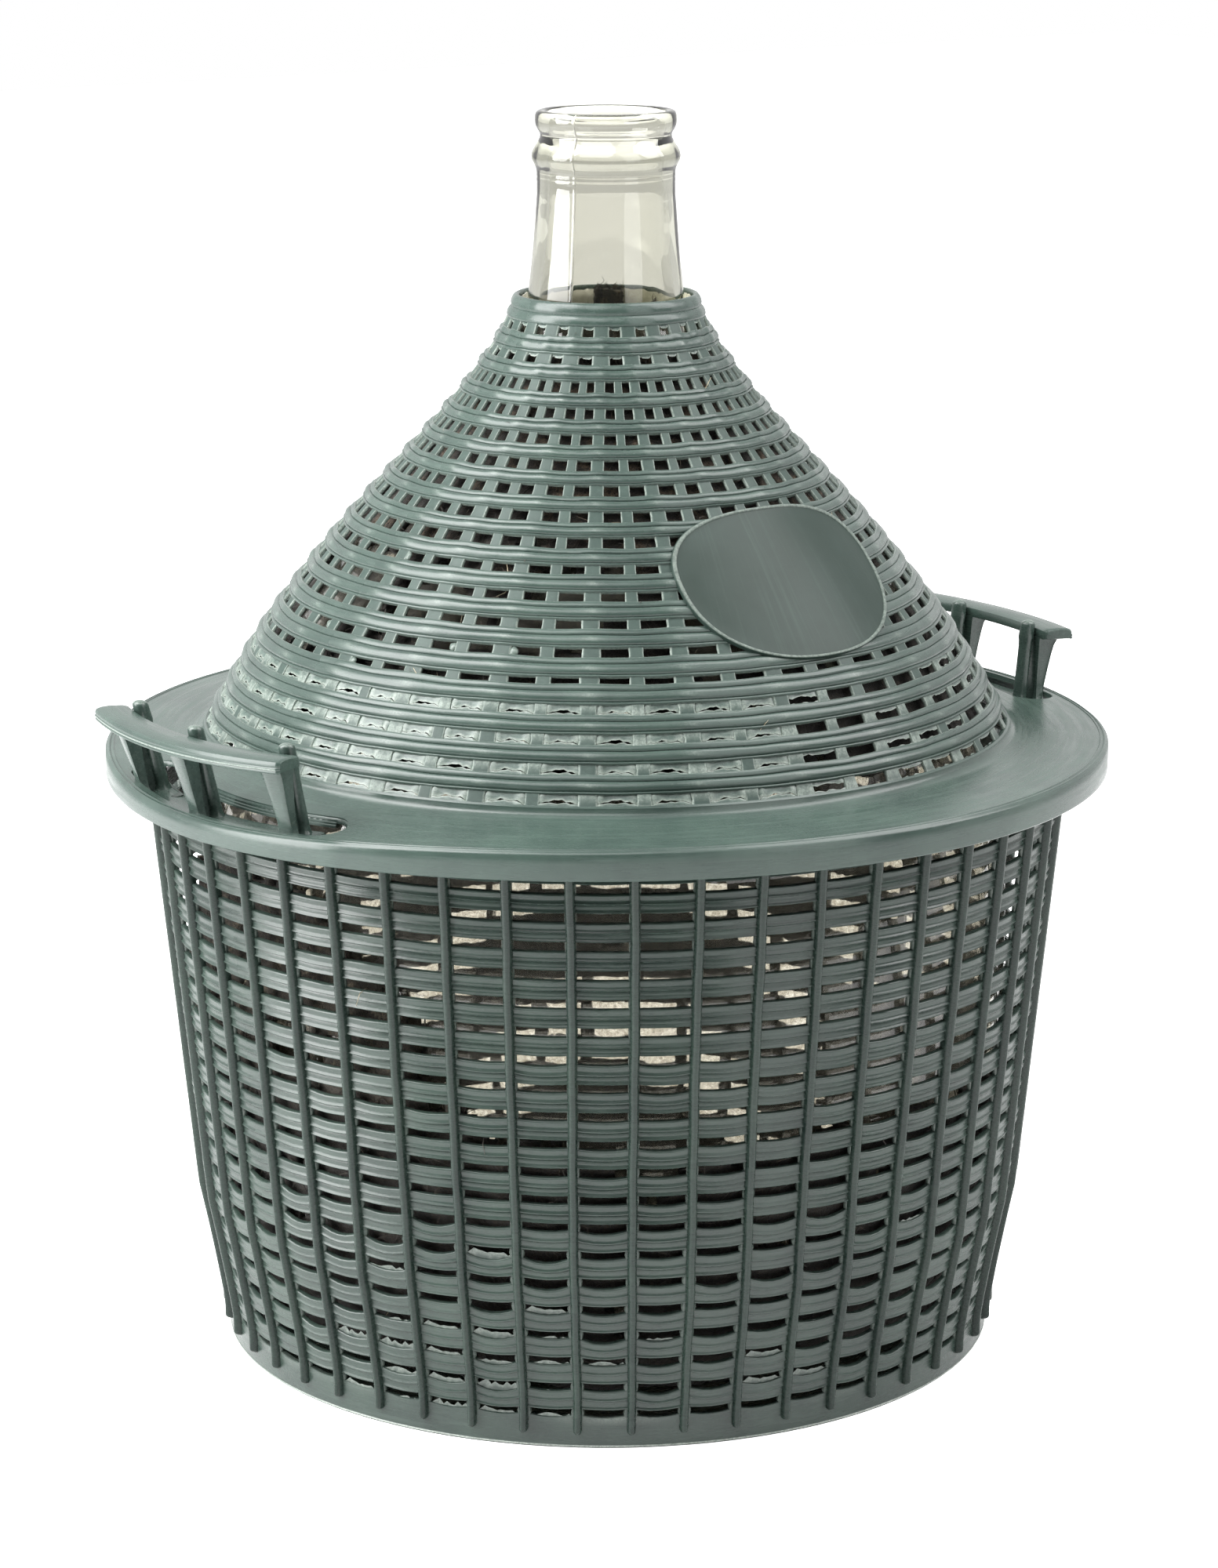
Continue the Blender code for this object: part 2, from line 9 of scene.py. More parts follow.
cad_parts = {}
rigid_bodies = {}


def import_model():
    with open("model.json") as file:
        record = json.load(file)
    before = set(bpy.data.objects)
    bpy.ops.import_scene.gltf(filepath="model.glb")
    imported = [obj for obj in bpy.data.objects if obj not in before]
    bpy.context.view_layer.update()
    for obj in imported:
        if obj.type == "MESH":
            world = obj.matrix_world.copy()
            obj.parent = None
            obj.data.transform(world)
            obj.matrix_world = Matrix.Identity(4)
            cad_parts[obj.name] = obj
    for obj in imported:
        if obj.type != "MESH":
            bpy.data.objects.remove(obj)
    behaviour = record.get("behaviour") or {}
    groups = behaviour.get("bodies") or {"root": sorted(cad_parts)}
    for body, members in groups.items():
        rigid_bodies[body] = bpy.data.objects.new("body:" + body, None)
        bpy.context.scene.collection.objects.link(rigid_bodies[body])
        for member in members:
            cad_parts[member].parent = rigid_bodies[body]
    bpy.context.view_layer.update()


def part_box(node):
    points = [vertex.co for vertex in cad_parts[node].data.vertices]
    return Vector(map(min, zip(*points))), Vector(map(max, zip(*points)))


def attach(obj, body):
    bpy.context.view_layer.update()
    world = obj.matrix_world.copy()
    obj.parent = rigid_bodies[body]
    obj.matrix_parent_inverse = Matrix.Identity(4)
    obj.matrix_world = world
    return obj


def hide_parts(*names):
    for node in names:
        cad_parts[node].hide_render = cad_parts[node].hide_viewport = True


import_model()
millimetre = 0.001
wholeTurn = 2 * pi
bpy.context.scene.view_settings.view_transform = "Standard"
print("stage: frame loaded")


# small helpers for numbers and places

def clamped(value):
    return min(1.0, max(0.0, value))


def polar(radius, angle, height):
    return (radius * cos(angle), radius * sin(angle), height)


def evenly(count):
    return [wholeTurn * step / count for step in range(count)]


def noiseAt(x, y, z):
    return noise.noise(Vector((x, y, z)))


def peak(angle, direction, width):
    # 1 in a direction round the axis and falling off beside it; both are in degrees
    return exp(-(remainder(angle - radians(direction), wholeTurn) / radians(width)) ** 2)


def linearColour(code):
    # sRGB hex to the linear values that the shaders work in
    parts = [int(code[at:at + 2], 16) / 255 for at in (1, 3, 5)]
    return [part / 12.92 if part <= 0.04045 else ((part + 0.055) / 1.055) ** 2.4 for part in parts] + [1.0]


# small helpers for nodes

def addNode(tree, kind, inputs=None, **settings):
    # a node with its settings; an input is a value, or a socket or node to link
    node = tree.nodes.new(kind)
    for name, value in settings.items():
        setattr(node, name, value)
    for key, value in (inputs or {}).items():
        if isinstance(value, bpy.types.Node):
            value = value.outputs[0]
        if isinstance(value, bpy.types.NodeSocket):
            tree.links.new(value, node.inputs[key])
        else:
            node.inputs[key].default_value = value
    return node


def mathNode(tree, operation, first, second, clamp=False):
    return addNode(tree, "ShaderNodeMath", {0: first, 1: second}, operation=operation, use_clamp=clamp)


def vectorMath(tree, operation, first, second):
    key = "Scale" if operation == "SCALE" else 1
    return addNode(tree, "ShaderNodeVectorMath", {0: first, key: second}, operation=operation)


def mapped(tree, value, low, high, toLow=0.0, toHigh=1.0, **settings):
    return addNode(tree, "ShaderNodeMapRange", {
        "Value": value, "From Min": low, "From Max": high, "To Min": toLow, "To Max": toHigh}, **settings)


def noiseNode(tree, place, size, detail, roughness=0.5, distortion=0.0):
    return addNode(tree, "ShaderNodeTexNoise", {
        "Vector": place, "Scale": 1 / size, "Detail": detail, "Roughness": roughness,
        "Distortion": distortion})


def colourMix(tree, share, first, second):
    first, second = [linearColour(colour) if isinstance(colour, str) else colour
                     for colour in (first, second)]
    return addNode(tree, "ShaderNodeMix", {0: share, 6: first, 7: second}, data_type="RGBA").outputs[2]


def bumpNode(tree, strength, millimetres, height, under=None):
    inputs = {"Strength": strength, "Distance": millimetres * millimetre, "Height": height}
    return addNode(tree, "ShaderNodeBump", {**inputs, "Normal": under} if under else inputs).outputs[0]


def newMaterial(name, settings):
    material = bpy.data.materials.new(name)
    material.use_nodes = True
    shader = material.node_tree.nodes["Principled BSDF"]
    for socket, value in settings.items():
        shader.inputs[socket].default_value = value
    return material, material.node_tree, shader


def objectPlace(tree):
    return addNode(tree, "ShaderNodeTexCoord").outputs["Object"]


def feed(tree, shader, sockets):
    for name, value in sockets.items():
        tree.links.new(value, shader.inputs[name])


# small helpers for meshes and pieces

def linked(made):
    bpy.context.scene.collection.objects.link(made)
    return made


def evaluatedMesh(made):
    # the mesh with its modifiers applied; the object itself goes
    bpy.context.view_layer.update()
    mesh = bpy.data.meshes.new_from_object(made.evaluated_get(bpy.context.evaluated_depsgraph_get()))
    bpy.data.objects.remove(made, do_unlink=True)
    return mesh


def gridMesh(name, rows, loopAlong=False, loopAcross=False, capEnds=False, wearAndPaintedLight=None, closed=True):
    # quads between rows of points; the wear value is a number for each point, how rubbed or whitened it is,
    # and in places how much painted light it carries; a cell whose neighbour closes it isn't closed itself
    count = len(rows[0])
    faces = []
    for i in range(len(rows) if loopAlong else len(rows) - 1):
        after = (i + 1) % len(rows)
        for j in range(count if loopAcross else count - 1):
            beside = (j + 1) % count
            faces.append((i * count + j, i * count + beside, after * count + beside, after * count + j))
    if capEnds:
        faces.append(tuple(range(count)))
        faces.append(tuple((len(rows) - 1) * count + j for j in range(count)))
    mesh = bpy.data.meshes.new(name)
    mesh.from_pydata([point for row in rows for point in row], [], faces)
    if wearAndPaintedLight is not None:
        values = [value for row in wearAndPaintedLight for value in row]
        mesh.attributes.new("wearAndPaintedLight", "FLOAT", "POINT").data.foreach_set("value", values)
    return cleaned(mesh) if closed else mesh


def tube(name, rows, wearAndPaintedLight=None):
    return gridMesh(name, rows, loopAcross=True, capEnds=True, wearAndPaintedLight=wearAndPaintedLight)


def cleaned(mesh, weld=1e-6):
    # doubles merged, flat slivers gone, open ends closed, faces outwards
    edit = bmesh.new()
    edit.from_mesh(mesh)
    bmesh.ops.remove_doubles(edit, verts=edit.verts, dist=weld)
    bmesh.ops.dissolve_degenerate(edit, edges=edit.edges, dist=weld)
    bmesh.ops.holes_fill(edit, edges=[edge for edge in edit.edges if edge.is_boundary], sides=0)
    bmesh.ops.recalc_face_normals(edit, faces=edit.faces)
    edit.to_mesh(mesh)
    edit.free()
    return mesh


def joinedMeshes(name, meshes):
    edit = bmesh.new()
    for mesh in meshes:
        edit.from_mesh(mesh)
    result = bpy.data.meshes.new(name)
    edit.to_mesh(result)
    edit.free()
    return result


def turnedMesh(name, profile, angles, radiusShift=None):
    # a closed outline of (radius, height) turned round Z; a point on the axis becomes a pole
    rows = []
    for angle in angles:
        row = []
        for index, (radius, height) in enumerate(profile):
            if radiusShift and radius > 0:
                radius += radiusShift(index, angle, radius, height)
            row.append(polar(radius, angle, height))
        rows.append(row)
    return gridMesh(name, rows, loopAlong=True, loopAcross=True)


def smoothThrough(points, steps):
    # a smooth curve through the points (Catmull-Rom)
    padded = [points[0], *points, points[-1]]
    curve = []
    for a, b, c, d in zip(padded, padded[1:], padded[2:], padded[3:]):
        for step in range(steps):
            t = step / steps
            curve.append(tuple(
                0.5 * (2 * q + (r - p) * t + (2 * p - 5 * q + 4 * r - s) * t * t
                       + (3 * q - p - 3 * r + s) * t ** 3)
                for p, q, r, s in zip(a, b, c, d)))
    curve.append(tuple(points[-1]))
    return curve


def piece(name, mesh, material, body, nodes, sharpAngle=35):
    # a finished piece at the origin, riding its body and standing for its CAD nodes
    made = linked(bpy.data.objects.new(name, mesh))
    mesh.materials.clear()
    mesh.materials.append(material)
    mesh.shade_smooth()
    mesh.set_sharp_from_angle(angle=radians(sharpAngle))
    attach(made, body)
    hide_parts(*nodes)
    return made


def moulding(name, mesh, material, node, sharpAngle=35):
    # the handles are one with the basket, and the label plate with the lid
    body = "lid" if node in ("lid", "label_plate") else "basket"
    piece(name, mesh, material, body, [node], sharpAngle)


def fibrePiece(name, mesh, material):
    piece(name, mesh, material, "bottle", ["fibre_padding"], 180)


# materials

def plasticMaterial(name, dark, light, pale, whitenedAndPaintedHighlight, cloudSize=0.030, streakSize=0.0022,
                    streakAlong=(1.0, 1.0, 0.012), streakAmount=0.30, speckSize=0.0008,
                    roughness=(0.17, 0.38), bump=1.2, shine=0.5):
    # injection moulded polyethylene: waxy half gloss, faint cloudy flow marks, whitened where bent or
    # rubbed;
    # along the strands' sides this whitening is also a painted highlight
    material, tree, shader = newMaterial(name, {"IOR": 1.5, "Specular IOR Level": shine})
    place = objectPlace(tree)
    cloud = noiseNode(tree, place, cloudSize, 5.0, 0.6)
    # the streaks follow the flow of the melt: long where streakAlong is small, of radius, height and turn
    axes = addNode(tree, "ShaderNodeSeparateXYZ", {0: place}).outputs
    turn = mathNode(tree, "ARCTAN2", axes["Y"], axes["X"])
    level = addNode(tree, "ShaderNodeCombineXYZ", {0: axes["X"], 1: axes["Y"]})
    radius = addNode(tree, "ShaderNodeVectorMath", {0: level}, operation="LENGTH").outputs["Value"]
    wound = addNode(tree, "ShaderNodeCombineXYZ", {0: radius, 1: axes["Z"], 2: turn})
    streak = noiseNode(tree, vectorMath(tree, "MULTIPLY", wound, streakAlong), streakSize, 4.0, 0.65)
    speck = noiseNode(tree, place, speckSize, 3.0, 0.7)
    base = colourMix(tree, mapped(tree, cloud, 0.3, 0.7), dark, light)
    streaked = colourMix(tree, mapped(tree, streak, 0.52, 0.78, 0.0, streakAmount), base, pale)
    wearAndPaintedLight = addNode(tree, "ShaderNodeAttribute", attribute_name="wearAndPaintedLight").outputs["Fac"]
    wornAndPaintedLight = mathNode(tree, "MULTIPLY", wearAndPaintedLight, mapped(tree, speck, 0.35, 0.65, 0.45, 1.2), clamp=True)
    rough = mapped(tree, streak, 0.3, 0.7, *roughness).outputs[0]
    grain = bumpNode(tree, bump, 0.05, speck, bumpNode(tree, bump, 0.15, cloud))
    feed(tree, shader, {"Base Color": colourMix(tree, wornAndPaintedLight, streaked, whitenedAndPaintedHighlight), "Roughness": rough,
                        "Normal": grain})
    return material


basketPlastic = plasticMaterial(
    "moulded grey-green polyethylene, basket", "#2d3834", "#38463f", "#58665f", "#a5ada5")
# the ribs are the bands' own plastic, coloured darker as painted shade
ribPlasticPaintedShade = plasticMaterial(
    "moulded grey-green polyethylene, darker ribs", "#1f2b27", "#28362f", "#46564e", "#a5ada5",
    roughness=(0.20, 0.36), shine=0.35)
lidPlastic = plasticMaterial(
    "moulded grey-green polyethylene, lid", "#34423d", "#3f4f48", "#64756d", "#b4beb5", cloudSize=0.026,
    streakSize=0.0024, streakAmount=0.18, speckSize=0.0009, roughness=(0.18, 0.36), bump=0.6)
labelPlastic = plasticMaterial(
    "moulded grey-green polyethylene, smooth face", "#24312b", "#2d3a35", "#46554e", "#a9b4ab",
    streakAlong=(0.03, 0.03, 0.13), speckSize=0.0012, roughness=(0.30, 0.36), bump=0.25, shine=0.2)
strandPlastic = plasticMaterial(
    "moulded grey-green polyethylene, flat strands", "#33413c", "#3c4b45", "#5a6a62", "#a9b3aa",
    cloudSize=0.012, streakSize=0.0020, streakAlong=(1.0, 1.0, 0.08), streakAmount=0.25, speckSize=0.0009,
    roughness=(0.32, 0.46), bump=0.8, shine=0.25)
flashPlastic = plasticMaterial(
    "thin moulding flash, paler than the wall", "#3a4943", "#4a5b54", "#7f8c83", "#bcc3b8",
    cloudSize=0.005, streakSize=0.0016, streakAlong=(1.0, 1.0, 0.05), streakAmount=0.55, speckSize=0.0007,
    roughness=(0.20, 0.42), bump=1.0)


def glassMaterial():
    # blown and pressed soda-lime glass: clear with a faint warm grey tint, wavy from the mould
    material, tree, shader = newMaterial("blown soda-lime glass", {"Roughness": 0.02, "IOR": 1.52})
    place = objectPlace(tree)
    stretched = addNode(tree, "ShaderNodeMapping", {"Vector": place, "Scale": (1.0, 1.0, 0.25)})
    waves = bumpNode(tree, 0.35, 0.3, noiseNode(tree, stretched, 0.012, 2.0))
    # a film of dust from the wadding dulls the balloon below its neck
    height = addNode(tree, "ShaderNodeSeparateXYZ", {0: place}).outputs["Z"]
    film = mapped(tree, noiseNode(tree, place, 0.0018, 5.0, 0.8), 0.40, 0.66, 0.03, 0.24)
    dust = mathNode(tree, "MULTIPLY", film, mapped(tree, height, 0.411, 0.398, 0.02, 1.0))
    clean = mathNode(tree, "SUBTRACT", 1.0, dust).outputs[0]
    browner = mathNode(tree, "MULTIPLY", dust, 3.0, clamp=True)
    feed(tree, shader, {"Normal": waves, "Transmission Weight": clean,
                        "Base Color": colourMix(tree, browner, "#ebeae7", "#b4a78f")})
    # olive where the glass is thick, in the lip and the bead
    depth = addNode(tree, "ShaderNodeVolumeAbsorption", {"Color": (0.60, 0.61, 0.49, 1.0), "Density": 92.0})
    # lamps reach the wadding and the far wall through it
    lampRay = addNode(tree, "ShaderNodeLightPath").outputs["Is Shadow Ray"]
    clear = addNode(tree, "ShaderNodeBsdfTransparent", {"Color": (0.82, 0.82, 0.79, 1.0)})
    both = addNode(tree, "ShaderNodeMixShader", {0: lampRay, 1: shader, 2: clear})
    feed(tree, tree.nodes["Material Output"], {"Volume": depth.outputs[0], "Surface": both.outputs[0]})
    return material


def fibreMaterial(name, dark, light, tuft, strandSize, tuftSize, tuftsAndPaintedLightFrom):
    # carded waste fibre: matt, mottled from strand to strand, with paler tufts above a given height and
    # paler where the wear value says; in the basket's wadding that paleness is partly painted light that
    # lifts its shade
    material, tree, shader = newMaterial(name, {"Roughness": 0.9, "Sheen Weight": 0.2})
    place = objectPlace(tree)
    tangle = noiseNode(tree, place, strandSize, 6.0, 0.75, 1.5)
    ramp = mapped(tree, tangle, 0.38, 0.68)
    tufts = mapped(tree, noiseNode(tree, place, tuftSize, 3.0, distortion=0.8), 0.50, 0.66)
    height = addNode(tree, "ShaderNodeSeparateXYZ", {0: place}).outputs["Z"]
    tuftsAndPaintedLight = mathNode(tree, "MULTIPLY", mathNode(tree, "MULTIPLY", tufts, ramp),
                      mapped(tree, height, tuftsAndPaintedLightFrom, tuftsAndPaintedLightFrom + 0.04))
    # the wear value: dust, and painted light as well on the basket's wadding and the lint
    dust = addNode(tree, "ShaderNodeAttribute", attribute_name="wearAndPaintedLight").outputs["Fac"]
    amount = mathNode(tree, "ADD", tuftsAndPaintedLight, mathNode(tree, "MULTIPLY", dust, ramp), clamp=True)
    feed(tree, shader, {"Base Color": colourMix(tree, amount, colourMix(tree, ramp, dark, light), tuft),
                        "Normal": bumpNode(tree, 1.0, 0.8, tangle)})
    return material


clearGlass = glassMaterial()
# in the basket the fibre is paler above 0.125 m: dust, and painted light that lifts its shade higher up
lowerFibre = fibreMaterial("carded brown waste fibre in the basket, dusty above", "#0e0b07", "#3a3123",
                           "#978b76",
                           0.0012, 0.006, 0.125)
darkFibre = fibreMaterial("carded brown waste fibre", "#0c0a06", "#322a1d", "#8d7860", 0.0016, 0.011, 0.31)
strandFibre = fibreMaterial("loose brown fibre strands", "#17120b", "#4d4230", "#8d7860", 0.0030, 0.011,
                            0.31)
strawFibre = fibreMaterial("pale straw strands in the wadding", "#8f8166", "#c9bda0", "#d8ceb4",
                           0.0040, 0.020, 0.10)
# near white as painted light, for the bright gap behind the collar
paintedLightLintFibre = fibreMaterial("near-white lint, pale as painted light", "#d2cdbf", "#eeebe2", "#f4f2ea", 0.0014, 0.020, 0.60)
print("stage: materials made")


# outlines, drawn upwards as (radius, height)

basketShape = {"topRadius": 0.1812, "wallTop": 0.2305, "taper": 0.0987, "tuck": 0.0049, "tuckHeight": 0.065,
               "tuckPower": 1.5, "footTop": 0.014, "top": 0.2436}


def basketRadius(height):
    s = basketShape
    height = max(height, s["footTop"])
    radius = s["topRadius"] - s["taper"] * (s["wallTop"] - height)
    if height < s["tuckHeight"]:
        radius -= s["tuck"] * (1 - (height / s["tuckHeight"]) ** s["tuckPower"])
    return radius


def lengthsAlong(outline):
    total = [0.0]
    for (r0, z0), (r1, z1) in zip(outline, outline[1:]):
        total.append(total[-1] + hypot(r1 - r0, z1 - z0))
    return total


def alongAtHeight(outline, height):
    # length up the outline at which it reaches a height
    lengths = lengthsAlong(outline)
    for index in range(len(outline) - 1):
        low, high = outline[index][1], outline[index + 1][1]
        if low <= height <= high:
            return lengths[index] + (lengths[index + 1] - lengths[index]) * (height - low) / (high - low)
    return lengths[-1]


def pointOn(outline, along):
    # point and outward direction at a length up the outline
    lengths = lengthsAlong(outline)
    for index in range(len(outline) - 1):
        if along <= lengths[index + 1] or index == len(outline) - 2:
            start, end = Vector(outline[index]), Vector(outline[index + 1])
            way = (end - start).normalized()
            return start + way * (along - lengths[index]), Vector((way.y, -way.x))


outlineHeights = [basketShape["top"] * step / 60 for step in range(61)]
basketOutline = [(basketRadius(height), height) for height in outlineHeights]
lidShape = {"collarRadius": 0.0357, "collarHeight": 0.4202, "baseRadius": 0.1618, "baseHeight": 0.2485,
            "flangeInnerRadius": 0.1632, "flangeInnerHeight": 0.2476, "flangeRadius": 0.2,
            "flangeHeight": 0.245,
            "skirtFoot": 0.2338}
# shares of the way down from the collar and out to the base
lidShares = ((0, 0), (0.055, 0.028), (0.118, 0.074), (0.227, 0.184), (0.324, 0.300), (0.526, 0.550),
             (0.730, 0.771), (0.849, 0.877), (1, 1))
lidOutline = smoothThrough([
    (lidShape["collarRadius"] + out * (lidShape["baseRadius"] - lidShape["collarRadius"]),
     lidShape["collarHeight"] - down * (lidShape["collarHeight"] - lidShape["baseHeight"]))
    for down, out in lidShares], 8)[::-1]
lidLength = lengthsAlong(lidOutline)[-1]


# Geometry Nodes: small cells repeated in rows and columns and laid on a turned wall

def geometryTree(name, sockets):
    tree = bpy.data.node_groups.new(name, "GeometryNodeTree")
    for title, kind in sockets.items():
        tree.interface.new_socket(name=title, in_out="INPUT", socket_type="NodeSocket" + kind)
    tree.interface.new_socket(name="Geometry", in_out="OUTPUT", socket_type="NodeSocketGeometry")
    given = addNode(tree, "NodeGroupInput").outputs
    cells = addNode(tree, "GeometryNodeCollectionInfo", {
        "Collection": given["Cells"], "Separate Children": True, "Reset Children": True})
    return tree, given, cells


def endTree(tree, geometry, material):
    coloured = addNode(tree, "GeometryNodeSetMaterial", {"Geometry": geometry, "Material": material})
    addNode(tree, "NodeGroupOutput", {0: coloured})
    return tree


def latticeTree():
    # flat cells have x in radians round the wall, y in metres up its outline and z in metres out of it
    tree, given, cells = geometryTree("cells on a turned wall", {
        "Places": "Geometry", "Cells": "Collection", "Outline": "Object", "Wobble": "Float",
        "Wobble Size": "Float", "Seed": "Float", "Weld": "Float", "Material": "Material"})
    placed = addNode(tree, "GeometryNodeInstanceOnPoints", {
        "Points": given["Places"], "Instance": cells, "Pick Instance": True,
        "Instance Index": addNode(tree, "GeometryNodeInputNamedAttribute", {"Name": "pick"},
                                  data_type="INT"),
        "Scale": addNode(tree, "GeometryNodeInputNamedAttribute", {"Name": "stretch"},
                         data_type="FLOAT_VECTOR")})
    real = addNode(tree, "GeometryNodeRealizeInstances", {0: placed})
    flat = addNode(tree, "ShaderNodeSeparateXYZ", {0: addNode(tree, "GeometryNodeInputPosition")}).outputs
    outline = addNode(tree, "GeometryNodeObjectInfo", {"Object": given["Outline"]}).outputs["Geometry"]
    sample = addNode(tree, "GeometryNodeSampleCurve", {"Curves": outline, "Length": flat["Y"]},
                     mode="LENGTH").outputs
    outward = vectorMath(tree, "CROSS_PRODUCT", (0.0, 1.0, 0.0), sample["Tangent"])
    upright = vectorMath(tree, "ADD", sample["Position"], vectorMath(tree, "SCALE", outward, flat["Z"]))
    turned = addNode(tree, "ShaderNodeVectorRotate", {"Vector": upright, "Angle": flat["X"]},
                     rotation_type="Z_AXIS")
    waver = addNode(tree, "ShaderNodeTexNoise", {
        "Vector": turned, "W": given["Seed"], "Scale": given["Wobble Size"], "Detail": 1.0},
        noise_dimensions="4D")
    centred = vectorMath(tree, "SUBTRACT", waver.outputs["Color"], (0.5, 0.5, 0.5))
    final = vectorMath(tree, "ADD", turned, vectorMath(tree, "SCALE", centred, given["Wobble"]))
    wrapped = addNode(tree, "GeometryNodeSetPosition", {"Geometry": real, "Position": final})
    welded = addNode(tree, "GeometryNodeMergeByDistance", {"Geometry": wrapped, "Distance": given["Weld"]})
    return endTree(tree, welded, given["Material"])


latticeNodes = latticeTree()


def settled(name, base, tree, cells, values):
    # runs a Geometry Nodes tree on a base mesh, with meshes as its cells, and gives the plain mesh
    group = bpy.data.collections.new(name + " cells")
    for index, mesh in enumerate(cells):
        group.objects.link(bpy.data.objects.new(f"{name}_cell_{index:02d}", mesh))
    source = linked(bpy.data.objects.new(name + "_source", base))
    modifier = source.modifiers.new("made", "NODES")
    modifier.node_group = tree
    values = {"Cells": group, **values}
    for item in tree.interface.items_tree:
        if item.item_type == "SOCKET" and item.in_out == "INPUT" and item.name in values:
            modifier[item.identifier] = values[item.name]
    mesh = evaluatedMesh(source)
    for item in list(group.objects):
        bpy.data.objects.remove(item, do_unlink=True)
    bpy.data.collections.remove(group)
    return mesh


def onWall(name, cells, places, outline, material, wobble, wobbleSize, seed, weld=2e-6):
    # cells are flat meshes; places are (x, y, which cell, x stretch, y stretch, z stretch)
    curve = bpy.data.curves.new(name + "_outline", "CURVE")
    curve.dimensions = "3D"
    spline = curve.splines.new("POLY")
    spline.points.add(len(outline) - 1)
    for point, (radius, height) in zip(spline.points, outline):
        point.co = (radius, 0.0, height, 1.0)
    path = linked(bpy.data.objects.new(name + "_outline", curve))
    spots = bpy.data.meshes.new(name + "_places")
    spots.from_pydata([(x, y, 0.0) for x, y, *_ in places], [], [])
    spots.attributes.new("pick", "INT", "POINT").data.foreach_set("value", [place[2] for place in places])
    stretches = [value for place in places for value in place[3:6]]
    spots.attributes.new("stretch", "FLOAT_VECTOR", "POINT").data.foreach_set("vector", stretches)
    mesh = settled(name, spots, latticeNodes, cells, {
        "Outline": path, "Wobble": wobble, "Wobble Size": wobbleSize, "Seed": seed, "Weld": weld,
        "Material": material})
    bpy.data.objects.remove(path, do_unlink=True)
    return cleaned(mesh)


# the flange has sagged round the left handle, with the rim, the wall's top and the handle under it
droop = {"width": radians(31), "depth": 0.0060, "from": 0.1632, "over": 0.027, "lean": 0.16, "lift": 0.42,
         "tilt": 0.019, "handleFoot": 0.2445, "handleRise": 0.026, "wall": (0.229, 0.240),
         "flange": (lidShape["skirtFoot"], 0.2423, 0.45), "lips": (lidShape["skirtFoot"], 0.2400, 0.45),
         "handle": (0.2430, 0.2440, 1.0, True)}


def drooped(mesh, low, high, atLow=0.0, handle=False):
    # full above the height high, and the share atLow of it at the height low and below
    for vertex in mesh.vertices:
        x, y, z = vertex.co
        turn = remainder(atan2(y, x) - pi, wholeTurn)
        radius = hypot(x, y)
        reach = sin(0.5 * pi * clamped((radius - droop["from"]) / droop["over"]))
        share = atLow + (1 - atLow) * clamped((z - low) / (high - low))
        drop = droop["depth"] * exp(-(turn / droop["width"]) ** 2) * reach * share
        if handle:
            # the grip has gone down less, more at its far end, and leans out
            rise = max(0.0, z - droop["handleFoot"])
            drop *= 1 - droop["lift"] * rise / droop["handleRise"]
            drop -= droop["tilt"] * radius * sin(turn)
            out = 1 + droop["lean"] * rise / radius
            vertex.co.x, vertex.co.y = x * out, y * out
        vertex.co.z = z - drop
    return mesh


# basket: bands between rows of windows, ribs in front of the staves that carry them

basket = {"ribCount": 48, "rowCount": 20, "firstRow": 0.2260, "rowPitch": 0.01116, "windowHeight": 0.0039,
          "ribWidth": 0.0037, "ribHeight": 0.0030, "ribFoot": 0.0056, "ribTop": 0.2418, "ribSteps": 61,
          "tip": 0.0018, "staveWidth": 0.0040, "earWidth": 0.0015, "wall": 0.0016, "bulge": 0.0004,
          "meanRadius": 0.170, "bandSegments": 6, "wobble": 0.00032, "bandZoneRows": (7, 13),
          "staveZoneRows": (9, 13), "climbs": (0.0, 0.0006, 0.0014), "flashFrom": 13, "flashTurn": -147,
          "flashSide": 0.0036, "flashRadius": 0.165, "flashLap": 0.0008}

# how far up the band, as a share of its height from its middle, and how far out, in millimetres:
# two lapped slats, each with a thin bead along its lower edge
basketBandShares = ((0.50, -0.45), (0.47, 0.05), (0.41, 0.18), (0.22, 0.12), (0.10, 0.32), (0.06, 0.78),
                    (0.02, 0.84), (-0.02, 0.58), (-0.045, -0.30), (-0.12, 0.02), (-0.26, 0.10),
                    (-0.365, 0.28), (-0.405, 0.74), (-0.445, 0.80), (-0.485, 0.48), (-0.50, -0.25))


def zoneOf(index, *starts):
    # 0, 1 or 2 down the wall
    return sum(index >= start for start in starts)


def bandCell(name, half, segments, shares, height, wall, sagTop=0.0, sagFoot=0.0, bulge=0.0, shape=None,
             wearAndPaintedLight=None):
    # one column's width of a band, open at its sides, where the next column's cell joins on
    rows, wornAndPaintedLight = [], []
    loop = [*shares, (-0.5, -wall / millimetre), (0.5, -wall / millimetre)]
    for step in range(segments + 1):
        x = -half + 2 * half * step / segments
        bow = 1 - (x / half) ** 2
        row = []
        for share, out in loop:
            y = share * height - bow * ((0.5 + share) * sagTop + (0.5 - share) * sagFoot)
            z = out * millimetre
            if out > -1:
                z += bulge * bow if shape is None else shape(x)
            row.append((x, y, z))
        rows.append(row)
        wornAndPaintedLight.append([wearAndPaintedLight(x, share) if wearAndPaintedLight else 0.0 for share, _ in loop])
    return gridMesh(name, rows, loopAcross=True, wearAndPaintedLight=wornAndPaintedLight, closed=False)


ribAngle = wholeTurn / basket["ribCount"]
chance = random.Random(7)
rowHeights = [basket["firstRow"] - basket["rowPitch"] * index for index in range(basket["rowCount"])]
bandHeight = basket["rowPitch"] - basket["windowHeight"]

